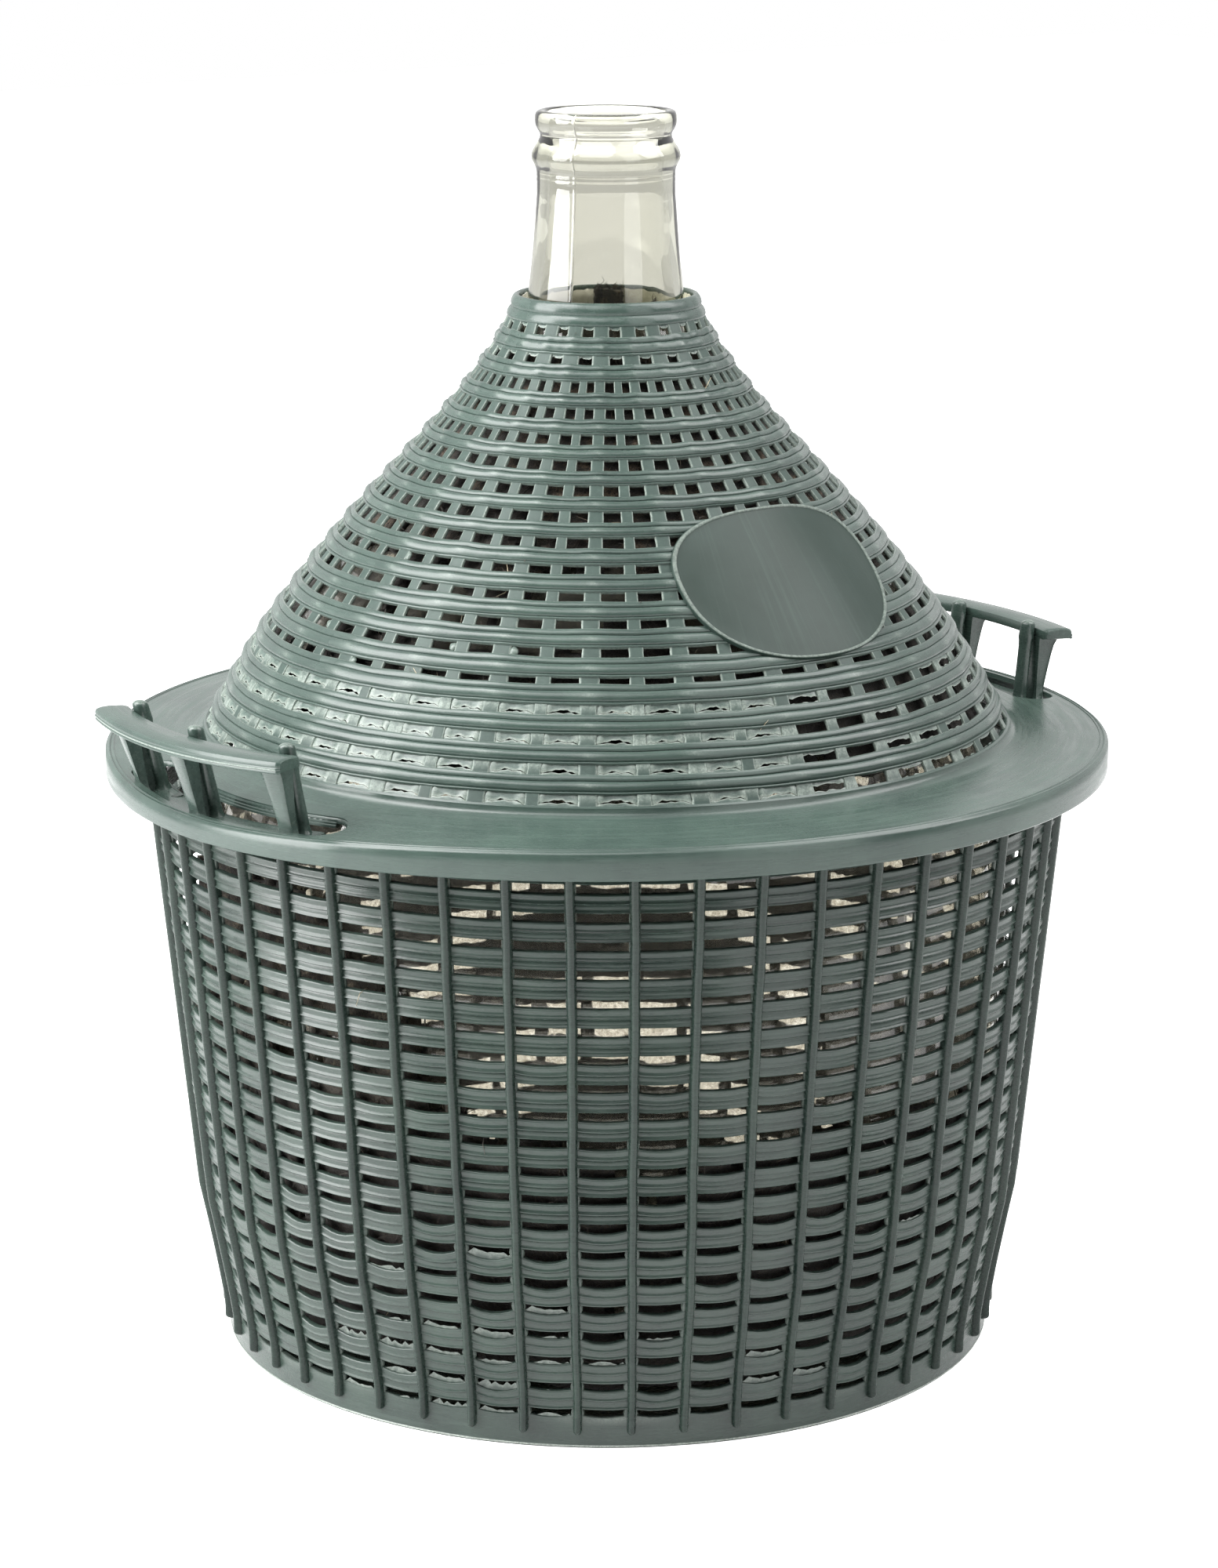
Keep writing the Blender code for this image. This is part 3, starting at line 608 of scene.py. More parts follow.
# upper bands are straight, lower ones hang in the windows like slack cords;
# for each zone the sag of its top and of its foot in metres, and how much relief is left
bandZones = ((0.0001, 0.0001, 1.0), (0.0008, 0.0003, 0.85), (0.0018, 0.0005, 0.6))
bandCells = []
for zone, (sagTop, sagFoot, relief) in enumerate(bandZones):
    shares = [(share, out * relief) for share, out in basketBandShares]
    for version in range(3):
        loose = 0.6 + 0.4 * version
        bandCells.append(bandCell(f"band_{zone}_{version}", ribAngle / 2, basket["bandSegments"], shares,
                                  bandHeight,
                                  basket["wall"], sagTop * loose, sagFoot * loose, basket["bulge"] * loose))
bandPlaces = []
for index, height in enumerate(rowHeights):
    # the band above each row of windows; low down each climbs at the ribs, which leaves lens-shaped windows
    zone = zoneOf(index, *basket["bandZoneRows"])
    climb = basket["climbs"][zone]
    along = alongAtHeight(basketOutline, height + 0.5 * basket["rowPitch"] + 0.5 * climb)
    for column in range(basket["ribCount"]):
        bandPlaces.append((ribAngle * (column + 1), along, 3 * zone + chance.randrange(3), 1,
                           1 + climb / bandHeight, 1))
bands = onWall("basket_bands", bandCells, bandPlaces, basketOutline, basketPlastic, basket["wobble"], 90.0,
               3.0)
moulding("basket_bands", drooped(bands, *droop["wall"]), basketPlastic, "basket", 50)

# ribs: round fronts, round tips at the foot
ribProfile = [(-0.5, -1.0), (-0.5, 0.10), (-0.42, 0.55), (-0.27, 0.88), (-0.08, 1.0), (0.08, 1.0),
              (0.27, 0.88), (0.42, 0.55), (0.5, 0.10), (0.5, -1.0)]
ribLow = alongAtHeight(basketOutline, basket["ribFoot"])
ribHigh = alongAtHeight(basketOutline, basket["ribTop"])


def ribCell(name, seed):
    rows = []
    phase = random.Random(seed).uniform(0, 6)
    for step in range(basket["ribSteps"] + 5):
        share = step / 62
        if step < 4:
            # the round tip
            turn = 0.5 * pi * step / 4
            size, y = max(sin(turn), 0.02), ribLow + basket["ribWidth"] * 0.5 * (1 - cos(turn)) * 0.9
        else:
            size = 1.0
            y = ribLow + basket["tip"] + (ribHigh - ribLow - basket["tip"]) * (step - 4) / basket["ribSteps"]
        lean = 0.00022 * sin(phase + 9 * share) + 0.0001 * sin(3 * phase + 41 * share)
        row = []
        for across, out in ribProfile:
            z = out * basket["ribHeight"] if out > 0 else -0.0012
            x = (across * size * basket["ribWidth"] + lean) / basket["meanRadius"]
            row.append((x, y, z * size if out > 0 else z))
        rows.append(row)
    return tube(name, rows)


ribCells = [ribCell(f"rib_{seed}", seed) for seed in range(4)]
ribPlaces = [(ribAngle * (column + 0.5), 0.0, chance.randrange(4), 1, 1, 1)
             for column in range(basket["ribCount"])]
# the ribs' material is darkened as painted shade
ribs = onWall("basket_ribs", ribCells, ribPlaces, basketOutline, ribPlasticPaintedShade, 0.0002, 60.0, 5.0)
moulding("basket_ribs", drooped(ribs, *droop["wall"]), ribPlasticPaintedShade, "basket", 60)


def staveCell(name, seed, ear):
    # one row's length of the stave behind a rib, with a soft lump each side at the window
    wander = random.Random(seed)
    rows, wornAndPaintedLight = [], []
    sizes = [wander.uniform(0.6, 1.25) for _ in range(2)]
    for step in range(9):
        y = basket["rowPitch"] * (step / 8 - 0.5)
        spread = 0.0019 if y > 0 else 0.0030
        lump = exp(-((y - 0.0004) / spread) ** 2)
        row = []
        for side, out in ((-1, -1.55), (-1, -0.5), (-0.86, 0.0), (0.86, 0.0), (1, -0.5), (1, -1.55)):
            half = 0.5 * basket["staveWidth"] + ear * lump * sizes[0 if side < 0 else 1]
            z = (out + (0.15 * lump if out > -1 else 0)) * millimetre
            row.append((side * half / basket["meanRadius"], y, z))
        rows.append(row)
        wornAndPaintedLight.append([0.0, 0.35 * lump, 0.1 * lump, 0.1 * lump, 0.35 * lump, 0.0])
    return gridMesh(name, rows, loopAcross=True, wearAndPaintedLight=wornAndPaintedLight, closed=False)


staveCells = [staveCell(f"stave_{zone}_{seed}", 10 * zone + seed, basket["earWidth"] * size)
              for zone, size in enumerate((0.03, 0.25, 0.6)) for seed in range(3)]
stavePlaces = []
for row, height in enumerate(rowHeights):
    below = alongAtHeight(basketOutline, height - 0.5 * basket["rowPitch"])
    above = alongAtHeight(basketOutline, height + 0.5 * basket["rowPitch"])
    for column in range(basket["ribCount"]):
        stavePlaces.append((ribAngle * (column + 0.5), 0.5 * (below + above),
                            3 * zoneOf(row, *basket["staveZoneRows"]) + chance.randrange(3), 1,
                            (above - below) / basket["rowPitch"], 1))
staves = onWall("basket_staves", staveCells, stavePlaces, basketOutline, basketPlastic, 0.0002, 120.0, 6.0,
                2e-5)
moulding("basket_staves", drooped(staves, *droop["wall"]), basketPlastic, "basket", 50)


def sillCell(name, seed, high):
    # flash standing on a window's lower edge, torn along its top
    wander = random.Random(seed)
    rows, wornAndPaintedLight = [], []
    for step in range(12):
        x = step / 11 - 0.5
        top = -0.5 + high * (0.7 + 0.3 * wander.uniform(-1, 1)) * (1 - 0.5 * abs(2 * x) ** 4)
        front = [(x, -0.72 + (top + 0.72) * k / 2,
                  (-0.25 - 0.15 * k + 0.15 * wander.uniform(-1, 1)) * millimetre)
                 for k in range(3)]
        rows.append(front + [(x, y, z - 0.35 * millimetre) for x, y, z in reversed(front)])
        wornAndPaintedLight.append([0.0, 0.35 * max(0.0, wander.uniform(-1, 1)), 0.45] + [0.0] * 3)
    return tube(name, rows, wornAndPaintedLight)


sillHeights = (0.85, 0.65, 0.45, 0.30, 0.9)
sillCells = [sillCell(f"sill_{number}", 80 + number, high) for number, high in enumerate(sillHeights)]
sillPlaces = []
for row in range(basket["flashFrom"], basket["rowCount"]):
    along = alongAtHeight(basketOutline, rowHeights[row]) - 0.0006
    for column in range(basket["ribCount"]):
        # worst low down and to the left in front
        angle = ribAngle * (column + 1)
        heavy = peak(angle, basket["flashTurn"], degrees(0.42))
        if chance.random() < (0.95 * heavy if row > 15 else 0.3 * heavy) + (0.12 if row > 16 else 0.03):
            sillPlaces.append((angle, along, chance.randrange(5),
                               ribAngle - basket["flashSide"] / basket["flashRadius"],
                               basket["windowHeight"] + basket["flashLap"], 1))
sills = onWall("basket_flash", sillCells, sillPlaces, basketOutline, basketPlastic, 0.0003, 200.0, 8.0)
moulding("basket_flash", sills, basketPlastic, "basket", 50)

# foot band: plain, with a thin bright parting line at its lowest edge; its top is the lowest windows' sill
footProfile = ((0.0000, -11.3), (0.0000, -0.45), (0.0004, -0.05), (0.0007, 0.22), (0.0010, 0.25),
               (0.0013, 0.02), (0.0030, 0.0), (0.0090, 0.06), (0.0118, 0.10), (0.0127, 0.05), (0.0130, -0.3),
               (0.0130, -2.2), (0.0066, -2.3), (0.0064, -11.3))
footRows, footWear = [], []
for step, angle in enumerate(evenly(basket["ribCount"] * 6)):
    bow = 1 - (2 * ((step / 6 + 0.5) % 1) - 1) ** 2
    row = []
    for height, out in footProfile:
        sag = 0.0007 * bow * max(0.0, (height - 0.009) / 0.004)
        uneven = 0.00012 * noiseAt(30 * cos(angle), 30 * sin(angle), height * 200)
        climb = (0.0006 if height > 0.0125 else 0.0) * (1 - bow)
        row.append(polar(basketRadius(0.0) + out * millimetre + uneven, angle, height + climb - sag))
    footRows.append(row)
    rubbed = max(0.0, 0.5 * noiseAt(2.2 * cos(angle), 2.2 * sin(angle), 4.0))
    footWear.append([0.9 if 0.0005 < height < 0.0012 else rubbed if height > 0.011 else 0.0
                     for height, _ in footProfile])
foot = gridMesh("basket_foot", footRows, loopAlong=True, loopAcross=True, wearAndPaintedLight=footWear)
moulding("basket_foot", foot, basketPlastic, "basket")

evenAngles = evenly(192)
floorEdge = basketRadius(0.0) - 0.0115
floorProfile = [(0.0, 0.0040), (0.060, 0.0040), (0.0605, 0.0046), (0.0625, 0.0046), (0.063, 0.0040),
                (0.118, 0.0040), (0.1185, 0.0046), (0.1205, 0.0046), (0.121, 0.0040),
                (floorEdge - 0.004, 0.0040), (floorEdge + 0.0006, 0.0002), (floorEdge + 0.0006, 0.0064),
                (0.0, 0.0064)]
moulding("basket_floor", turnedMesh("basket_floor", floorProfile, evenAngles), basketPlastic, "basket")


def flangeTop(radius):
    s = lidShape
    share = (radius - s["flangeInnerRadius"]) / (s["flangeRadius"] - s["flangeInnerRadius"])
    return s["flangeInnerHeight"] + share * (s["flangeHeight"] - s["flangeInnerHeight"])


rimShape = {"low": 0.2352, "step": 0.2405, "stepAngle": radians(20.4), "stepFrom": 0.1790}
rim = turnedMesh("basket_rim", [
    (basketRadius(rimShape["low"]) - 0.0020, rimShape["low"]),
    (basketRadius(rimShape["low"]), rimShape["low"]),
    (0.1814, 0.2388), (0.1822, 0.2402), (0.1836, 0.2405), (0.1915, 0.2402), (0.1923, 0.2408),
    (0.1925, 0.2418), (0.1921, flangeTop(0.1921) - 0.0027), (0.1834, flangeTop(0.1834) - 0.0026),
    (0.1812, flangeTop(0.1812) - 0.0028), (0.1800, 0.2420), (0.1795, 0.2400)], evenAngles)
for vertex in rim.vertices:
    # it steps down under the handles' feet
    x, y, z = vertex.co
    near = abs(remainder(atan2(y, x), pi)) < rimShape["stepAngle"]
    if near and z > rimShape["step"] and x ** 2 + y ** 2 > rimShape["stepFrom"] ** 2:
        vertex.co.z = rimShape["step"]
moulding("basket_rim", drooped(rim, *droop["flange"]), basketPlastic, "basket")
print("stage: basket made")


# the lid: corded bands over 24 wide and 24 narrow strands, with moulding flash left in the outer windows

lid = {
    "rowCount": 18, "firstRow": 0.0114, "rowPitch": 0.011565, "columns": 24, "wideStrandAt": 5.4,
    "windowHeights": ((2, 0.0040), (9, 0.0051), (13, 0.0041), (14, 0.0029), (18, 0.0042)),
    "windowDegrees": ((2, 6.4), (4, 3.6), (8, 4.2), (14, 4.7), (18, 5.3)),
    "wideShare": 0.57, "wall": 0.0015, "bandSegments": 10, "nominalBand": 0.0070, "cordLift": 0.00038,
    "baseTop": 0.2102, "wobble": 0.00038, "singleRows": 2, "flashFrom": 14,
    "strandLap": 0.0016, "strandStray": 0.25, "filmLap": 0.0006, "filmSide": 0.4, "leftTurn": -158}

# a soft-edged margin under the windows, a sharp groove, a round cord, another groove and a narrow margin;
# shares of the band's height and millimetres out
lidBandShares = ((0.50, -0.70), (0.488, -0.15), (0.45, 0.10), (0.37, 0.26), (0.26, 0.28), (0.19, 0.12),
                 (0.165, -0.30), (0.135, 0.12), (0.07, 0.50), (-0.03, 0.72), (-0.14, 0.70), (-0.24, 0.48),
                 (-0.32, 0.10), (-0.355, -0.38), (-0.39, 0.02), (-0.44, 0.10), (-0.485, -0.15),
                 (-0.50, -0.75))
columnAngle = wholeTurn / lid["columns"]
columnDegrees = 360 / lid["columns"]


def byRow(key, index):
    # the value of the first entry whose last row isn't passed yet
    return next(value for last, value in lid[key] if index < last)


def lidDown(index):
    return lid["firstRow"] + lid["rowPitch"] * index


def lidPoint(down, out=0.0):
    # down is measured along the slope from the collar's top
    point, outward = pointOn(lidOutline, lidLength - down)
    return tuple(point + outward * out)


def columnPlace(column, degreesOn=0.0):
    return radians(lid["wideStrandAt"] + degreesOn) + columnAngle * column


def cordShape(x):
    turn = wholeTurn * x / columnAngle
    return lid["cordLift"] * (0.5 + 0.5 * cos(turn)) + 0.35 * lid["cordLift"] * (0.5 + 0.5 * cos(2 * turn))


def cordWear(x, share):
    # the crowns over the wide strands are rubbed
    crown = max(0.0, cos(wholeTurn * x / columnAngle)) ** 6
    return 0.16 * crown if -0.2 < share < 0.0 else 0.30 if abs(share) > 0.487 else 0.0


cordCells = [bandCell(f"cords_{version}", columnAngle / 2, lid["bandSegments"], lidBandShares,
                      lid["nominalBand"],
                      lid["wall"], -0.0002 * version, 0.0001 * version, 0, cordShape, cordWear)
             for version in range(3)]
chance = random.Random(11)
cordPlaces = []
for index in range(lid["rowCount"] - 1):
    top = lidDown(index) + 0.5 * byRow("windowHeights", index)
    bottom = lidDown(index + 1) - 0.5 * byRow("windowHeights", index + 1)
    for column in range(lid["columns"]):
        cordPlaces.append((columnPlace(column), lidLength - 0.5 * (top + bottom), chance.randrange(3),
                           1, (bottom - top) / lid["nominalBand"], 1))
cords = onWall("lid_bands", cordCells, cordPlaces, lidOutline, lidPlastic, lid["wobble"], 70.0, 13.0)
moulding("lid_bands", cords, lidPlastic, "lid", 50)


def strandCell(name, seed, pale):
    # one window's length of a strand, a unit wide and long, with faint lengthwise flutes, and thin white
    # lines along its sides: partly whitened where the window's sides were stretched, partly a painted
    # highlight
    wander = random.Random(seed)
    across = ((-1, -1.45), (-1, -0.55), (-0.95, -0.25), (-0.75, -0.12), (-0.45, -0.20), (0, -0.08),
              (0.45, -0.20), (0.75, -0.12), (0.95, -0.25), (1, -0.55), (1, -1.45))
    rows, wornAndPaintedLight = [], []
    for step in range(5):
        share = step / 4 - 0.5
        waist = 1 + 0.08 * (2 * share) ** 2 + wander.uniform(-0.04, 0.04)
        rows.append([(0.5 * side * waist, share, out * millimetre) for side, out in across])
        face = pale * max(0.0, wander.uniform(-0.2, 1))
        # the sides' 0.8 and 0.5 are whitening and painted edge highlight together
        wornAndPaintedLight.append([0.1, 0.8, 0.5, face, face, 0.6 * face, face, face, 0.5, 0.8, 0.1])
    return tube(name, rows, wornAndPaintedLight)


# four plain cells, then three pale ones for the outer rows
strandCells = [strandCell(f"strand_{seed}", seed, 0.0 if seed < 4 else 0.5) for seed in range(7)]
strandPlaces = []
for index in range(lid["rowCount"]):
    length = byRow("windowHeights", index) + lid["strandLap"]
    window = byRow("windowDegrees", index)
    both = columnDegrees - 2 * window
    single = index < lid["singleRows"]
    widths = [columnDegrees - window] if single else [both * lid["wideShare"], both * (1 - lid["wideShare"])]
    for column in range(lid["columns"]):
        for number, width in enumerate(widths):
            angle = columnPlace(column,
                                0.5 * columnDegrees * number + lid["strandStray"] * chance.uniform(-1, 1))
            pale = index >= lid["flashFrom"] and chance.random() < 0.7
            kind = chance.randrange(4, 7) if pale else chance.randrange(4)
            strandPlaces.append((angle, lidLength - lidDown(index), kind, radians(width), length, 1))
strands = onWall("lid_strands", strandCells, strandPlaces, lidOutline, strandPlastic, 0.0002, 90.0, 14.0)
moulding("lid_strands", strands, strandPlastic, "lid", 50)


def filmCell(name, seed, closed):
    # thin torn flash in a window: a skirt from the upper cord, a sill on the lower one, a pillow at each end
    wander = random.Random(seed)
    ragged = [wander.uniform(-1, 1) for _ in range(22)]
    rows, wornAndPaintedLight = ([], []), ([], [])
    for step in range(11):
        x = step / 10 - 0.5
        end = abs(2 * x) ** 3
        swollen = 0.8 + 0.3 * ragged[0 if x < 0 else 1]
        pillow = exp(-((abs(x) - 0.38) / 0.07) ** 2) * (0.4 + 0.6 * closed) * swollen
        upper = -0.10 + 0.42 * (1 - closed) - 0.36 * end * closed + 0.10 * ragged[step]
        lower = -0.16 - 0.30 * (1 - closed) + 0.16 * end * closed + 0.10 * ragged[step + 11]
        for layer, (near, far) in enumerate(((upper, 0.58), (-0.58, min(lower, upper - 0.03)))):
            front = []
            for k in range(4):
                swell = pillow * sin(pi * (k + 0.5) / 4)
                out = -0.80 + 0.85 * swell + 0.14 * ragged[(step + 5 * k) % 22]
                front.append((x, near + (far - near) * k / 3, out * millimetre))
            rows[layer].append(front + [(x, y, z - 0.35 * millimetre) for x, y, z in reversed(front)])
            # the torn edge is whitest
            wornAndPaintedLight[layer].append([0.40 if k == 3 * layer else 0.30 * pillow for k in range(4)] + [0.1] * 4)
    return joinedMeshes(name, [tube(f"{name}_{layer}", rows[layer], wornAndPaintedLight[layer]) for layer in (0, 1)])


def lumpCell(name, seed, side):
    # a blob of flash squeezed out beside a strand
    wander = random.Random(seed)
    rows = []
    for step in range(6):
        turn = pi * step / 5
        row = []
        for around in evenly(8):
            size = 1 + 0.18 * wander.uniform(-1, 1)
            row.append((side * 0.40 + 0.15 * cos(turn) * size, 0.42 * sin(turn) * cos(around) * size,
                        (-0.75 + 0.85 * sin(turn) * sin(around)) * millimetre))
        rows.append(row)
    return tube(name, rows, [[0.12] * 8] * 6)


filmsClosed = (1.0, 0.95, 0.8, 0.35, 0.1, 0.5)
filmCells = [filmCell(f"film_{number}", 40 + number, closed) for number, closed in enumerate(filmsClosed)]
filmCells += [lumpCell(f"film_lump_{number}", 60 + number, side) for number, side in enumerate((1, -1))]
filmPlaces = []
for index in range(lid["rowCount"]):
    window = byRow("windowDegrees", index)
    wide = (columnDegrees - 2 * window) * lid["wideShare"]
    single = index < lid["singleRows"]
    centres = (0.5 * columnDegrees,) if single else (0.5 * (wide + window), -0.5 * (wide + window))
    for column in range(lid["columns"]):
        for centre in centres:
            angle = columnPlace(column, centre)
            kind = 4 if single else None
            if index >= lid["flashFrom"]:
                # flash is heaviest on the side that faces left in front of the label
                leftSide = cos(angle - radians(lid["leftTurn"])) > 0.5
                kind = chance.choice((0, 0, 1, 2)) if leftSide else chance.choice((3, 4, 4, None, None))
            elif index > 6 and chance.random() < 0.07:
                kind = chance.choice((6, 7))
            if kind is not None:
                filmPlaces.append((angle, lidLength - lidDown(index), kind,
                                   radians(window + lid["filmSide"]),
                                   byRow("windowHeights", index) + lid["filmLap"], 1))
films = onWall("lid_films", filmCells, filmPlaces, lidOutline, flashPlastic, 0.0004, 200.0, 15.0)
moulding("lid_films", films, flashPlastic, "lid", 50)

collarProfile = [lidPoint(down, out) for down, out in (
    (0.0094, -0.0022), (0.0094, -0.0006), (0.0092, 0.0000), (0.0086, 0.0004), (0.0074, 0.0006),
    (0.0062, 0.0005), (0.0054, 0.0002), (0.0050, -0.0002), (0.0046, 0.0001), (0.0037, 0.0005),
    (0.0026, 0.0006), (0.0015, 0.0005), (0.0006, 0.0002), (0.0001, -0.0003), (-0.0001, -0.0009),
    (0.0001, -0.0016), (0.0008, -0.0021))]


def collarRipple(index, angle, radius, height):
    # the strands draw its outside in a little
    outside = 2 < index < 13
    return 0.00007 * cos(lid["columns"] * (angle - radians(lid["wideStrandAt"]))) if outside else 0.0


collar = turnedMesh("lid_collar", collarProfile, evenAngles, collarRipple)
moulding("lid_collar", collar, lidPlastic, "lid", 50)

skirt = lidShape["flangeRadius"]
flangeProfile = [lidPoint(lid["baseTop"] + down, out) for down, out in (
    (0.0, -0.0022), (0.0, -0.0006), (0.0003, 0.0002), (0.0012, 0.0005))]
flangeProfile += [(0.1612, 0.2494), (0.1620, 0.2484)]
flangeProfile += [(radius, flangeTop(radius))
                  for radius in (0.1640, 0.1660, 0.1700, 0.1750, 0.1800, 0.1860, 0.1920, 0.1958)]
flangeProfile += [(skirt - back, flangeTop(skirt - back) + rise) for back, rise in (
    (0.0036, 0.0000), (0.0033, 0.0003), (0.0029, 0.0003), (0.0026, 0.0000), (0.0021, -0.0001),
    (0.0018, 0.0002),
    (0.0014, 0.0002), (0.0010, -0.0002), (0.0004, -0.0005), (0.0000, -0.0012))]
flangeProfile += [(skirt - back, height) for back, height in (
    (0.0, 0.2405), (0.0, 0.2350), (0.0001, 0.2342), (0.0005, 0.2338), (0.0016, 0.2338), (0.0021, 0.2343),
    (0.0022, 0.2420), (0.0034, flangeTop(0.1966) - 0.0022))]
flangeProfile += [(radius, flangeTop(radius) - 0.0022) for radius in (0.1900, 0.1800, 0.1700, 0.1640)]
flangeProfile += [(0.1600, 0.2462)]


def flangeUneven(index, angle, radius, height):
    return 0.00010 * noiseAt(14 * cos(angle), 14 * sin(angle), 40 * height)


slot = {"inner": 0.1757, "outer": 0.1940, "halfAngle": radians(21.4), "steps": 40, "endSteps": 12,
        "lipHalf": 18.5}


def slotOutline(grow):
    # an arc slot with round ends, grown by a distance: each long edge, then the end that it runs into
    middle, half = 0.5 * (slot["inner"] + slot["outer"]), 0.5 * (slot["outer"] - slot["inner"])
    reach = slot["halfAngle"] - half / middle
    points = []
    for side in (1, -1):
        for step in range(slot["steps"] + 1):
            angle = side * (-reach + 2 * reach * step / slot["steps"])
            points.append(polar(middle + side * half + side * grow, angle, 0.0)[:2])
        for step in range(1, slot["endSteps"]):
            turn = (reach if side > 0 else pi - reach) + pi * step / slot["endSteps"]
            centre = Matrix.Rotation(side * reach, 2) @ Vector((middle, 0))
            points.append(tuple(centre + Matrix.Rotation(turn, 2) @ Vector((half + grow, 0))))
    return points


def slotPrism(levels, side):
    # the slot's outline at each (height, growth), closed at both ends; side is 1 or -1 along X
    rows = [[(side * x, side * y, height) for x, y in slotOutline(grow)] for height, grow in levels]
    return tube("slot", rows)


def cutMesh(mesh, cutters):
    solid = linked(bpy.data.objects.new("to_cut", mesh))
    made = [linked(bpy.data.objects.new("cutter", cutter)) for cutter in cutters]
    for tool in made:
        boolean = solid.modifiers.new("cut", "BOOLEAN")
        boolean.object, boolean.operation, boolean.solver = tool, "DIFFERENCE", "EXACT"
    result = evaluatedMesh(solid)
    for tool in made:
        bpy.data.objects.remove(tool, do_unlink=True)
    return cleaned(result)


# each slot opens out a little at the flange's top, as its edge is rounded
slotTop = flangeTop(0.185)
slotLevels = [(0.2300, 0.0), (slotTop - 0.0006, 0.0), (slotTop - 0.0001, 0.0002), (slotTop + 0.0002, 0.0006),
              (0.2560, 0.0006)]
flange = cutMesh(turnedMesh("lid_flange", flangeProfile, evenAngles, flangeUneven),
                 [slotPrism(slotLevels, side) for side in (1, -1)])
moulding("lid_flange", drooped(flange, *droop["flange"]), lidPlastic, "lid")

# stepped lip down the inner side of each slot
lipProfile = ((0.1740, 0.2450), (0.1757, 0.2458), (0.1757, 0.2450), (0.1761, 0.2448), (0.1761, 0.2441),
              (0.1765, 0.2439), (0.1765, 0.2431), (0.1757, 0.2428), (0.1740, 0.2430))
lips = []
for side in (0.0, pi):
    angles = [side + radians(slot["lipHalf"] * (2 * step / slot["steps"] - 1))
              for step in range(slot["steps"] + 1)]
    rows = [[polar(radius, angle, height) for radius, height in lipProfile] for angle in angles]
    lips.append(tube("lip", rows))
moulding("lid_slot_lips", drooped(joinedMeshes("lid_slot_lips", lips), *droop["lips"]), lidPlastic, "lid")
print("stage: lid made")


# the label plate, blank, with a thin raised border

label = {"width": 0.098, "height": 0.066, "centre": 0.126, "angle": radians(-88), "under": 0.0002,
         "face": 0.0015,
         "rise": 0.0006, "power": 2.35, "around": 160, "inside": 0.948}
# the border: a share of the plate's size, and of the border's rise
labelRings = [(1.0, label["under"])] + [(share, label["face"] + rise * label["rise"]) for share, rise in (
    (1.0, 0.1), (0.996, 0.7), (0.988, 1), (0.972, 1), (0.964, 0.7), (0.958, 0.05), (label["inside"], 0))]
labelRings += [(label["inside"] * share, label["face"])
               for share in (0.9, 0.8, 0.7, 0.6, 0.5, 0.4, 0.3, 0.2, 0.1, 0.0)]
labelRings += [(share, label["under"]) for share in (0.0, 0.25, 0.5, 0.75)]
labelRows, labelWear = [], []
for share, out in labelRings:
    row = []
    for turn in evenly(label["around"]):
        c, s = cos(turn), sin(turn)
        size = (abs(c) ** label["power"] + abs(s) ** label["power"]) ** (-1 / label["power"])
        across, up = 0.5 * label["width"] * share * size * c, 0.5 * label["height"] * share * size * s
        point, outward = pointOn(lidOutline, lidLength - label["centre"] + up)
        lifted = point + outward * out
        row.append(polar(lifted.x, label["angle"] + across / point.x, lifted.y))
    labelRows.append(row)
    labelWear.append([0.35 if 0.964 <= share < 0.99 else 0.0] * label["around"])
labelMesh = gridMesh("label_plate_blank", labelRows, loopAlong=True, loopAcross=True, wearAndPaintedLight=labelWear)
moulding("label_plate_blank", labelMesh, labelPlastic, "label_plate")
print("stage: label plate made")


# handles, built at angle 0 and turned to their side

handle = {
    "gripAngle": 18.3, "gripSteps": 44, "footAngle": 18.2, "footSteps": 40, "footEnd": 0.003,
    "postAngles": (-15.6, 0.0, 15.6),
    "gripSection": ((0.1908, 0.2684), (0.1905, 0.2692), (0.1905, 0.2712), (0.1909, 0.2720), (0.1925, 0.2725),
                    (0.1975, 0.2728), (0.2015, 0.2725), (0.2034, 0.2719), (0.2041, 0.2708), (0.2041, 0.2700),
                    (0.2044, 0.2697), (0.2045, 0.2692), (0.2042, 0.2688), (0.2044, 0.2685), (0.2044, 0.2680),
                    (0.2038, 0.2677), (0.2030, 0.2680), (0.1975, 0.2681)),
    "footSection": ((0.1800, 0.2408), (0.1800, 0.2414), (0.1804, 0.2418), (0.1812, 0.2420), (0.1908, 0.2420),
                    (0.1917, 0.2419), (0.1922, 0.2416), (0.1922, 0.2408), (0.1860, 0.2406)),
    "tieSection": ((0.1862, 0.2415), (0.1874, 0.2600), (0.1882, 0.2684), (0.1915, 0.2684), (0.1915, 0.2415)),
    "tieHalf": 0.0008, "partingRadius": 0.20445, "partingWear": 0.55, "knobWear": 0.2,
    "knobWearFrom": 0.2745, "columnFoot": 0.1845, "columnTop": 0.1878, "columnFrom": 0.2440,
    "columnRadius": 0.0028, "knobRadius": 0.0031, "knobFoot": 0.2738, "knobTop": 0.2755, "knobShare": 0.97}


def arcSweep(section, halfAngle, steps, endLength=0.0016, endSteps=4):
    # a section carried round the axis; it shrinks a little at each end, as a chamfer
    middle = Vector((sum(r for r, _ in section) / len(section), sum(z for _, z in section) / len(section)))
    reach = radians(halfAngle)
    endAngle = endLength / middle.x
    ends = [(-reach + endAngle * k / endSteps, 0.80 + 0.20 * sin(0.5 * pi * k / endSteps))
            for k in range(endSteps)]
    inner = [(-reach + endAngle + 2 * (reach - endAngle) * k / steps, 1.0) for k in range(steps + 1)]
    rows = []
    for angle, size in ends + inner + [(-angle, size) for angle, size in reversed(ends)]:
        points = [middle + (Vector(corner) - middle) * size for corner in section]
        rows.append([polar(point.x, angle, point.y) for point in points])
    return tube("arc", rows)


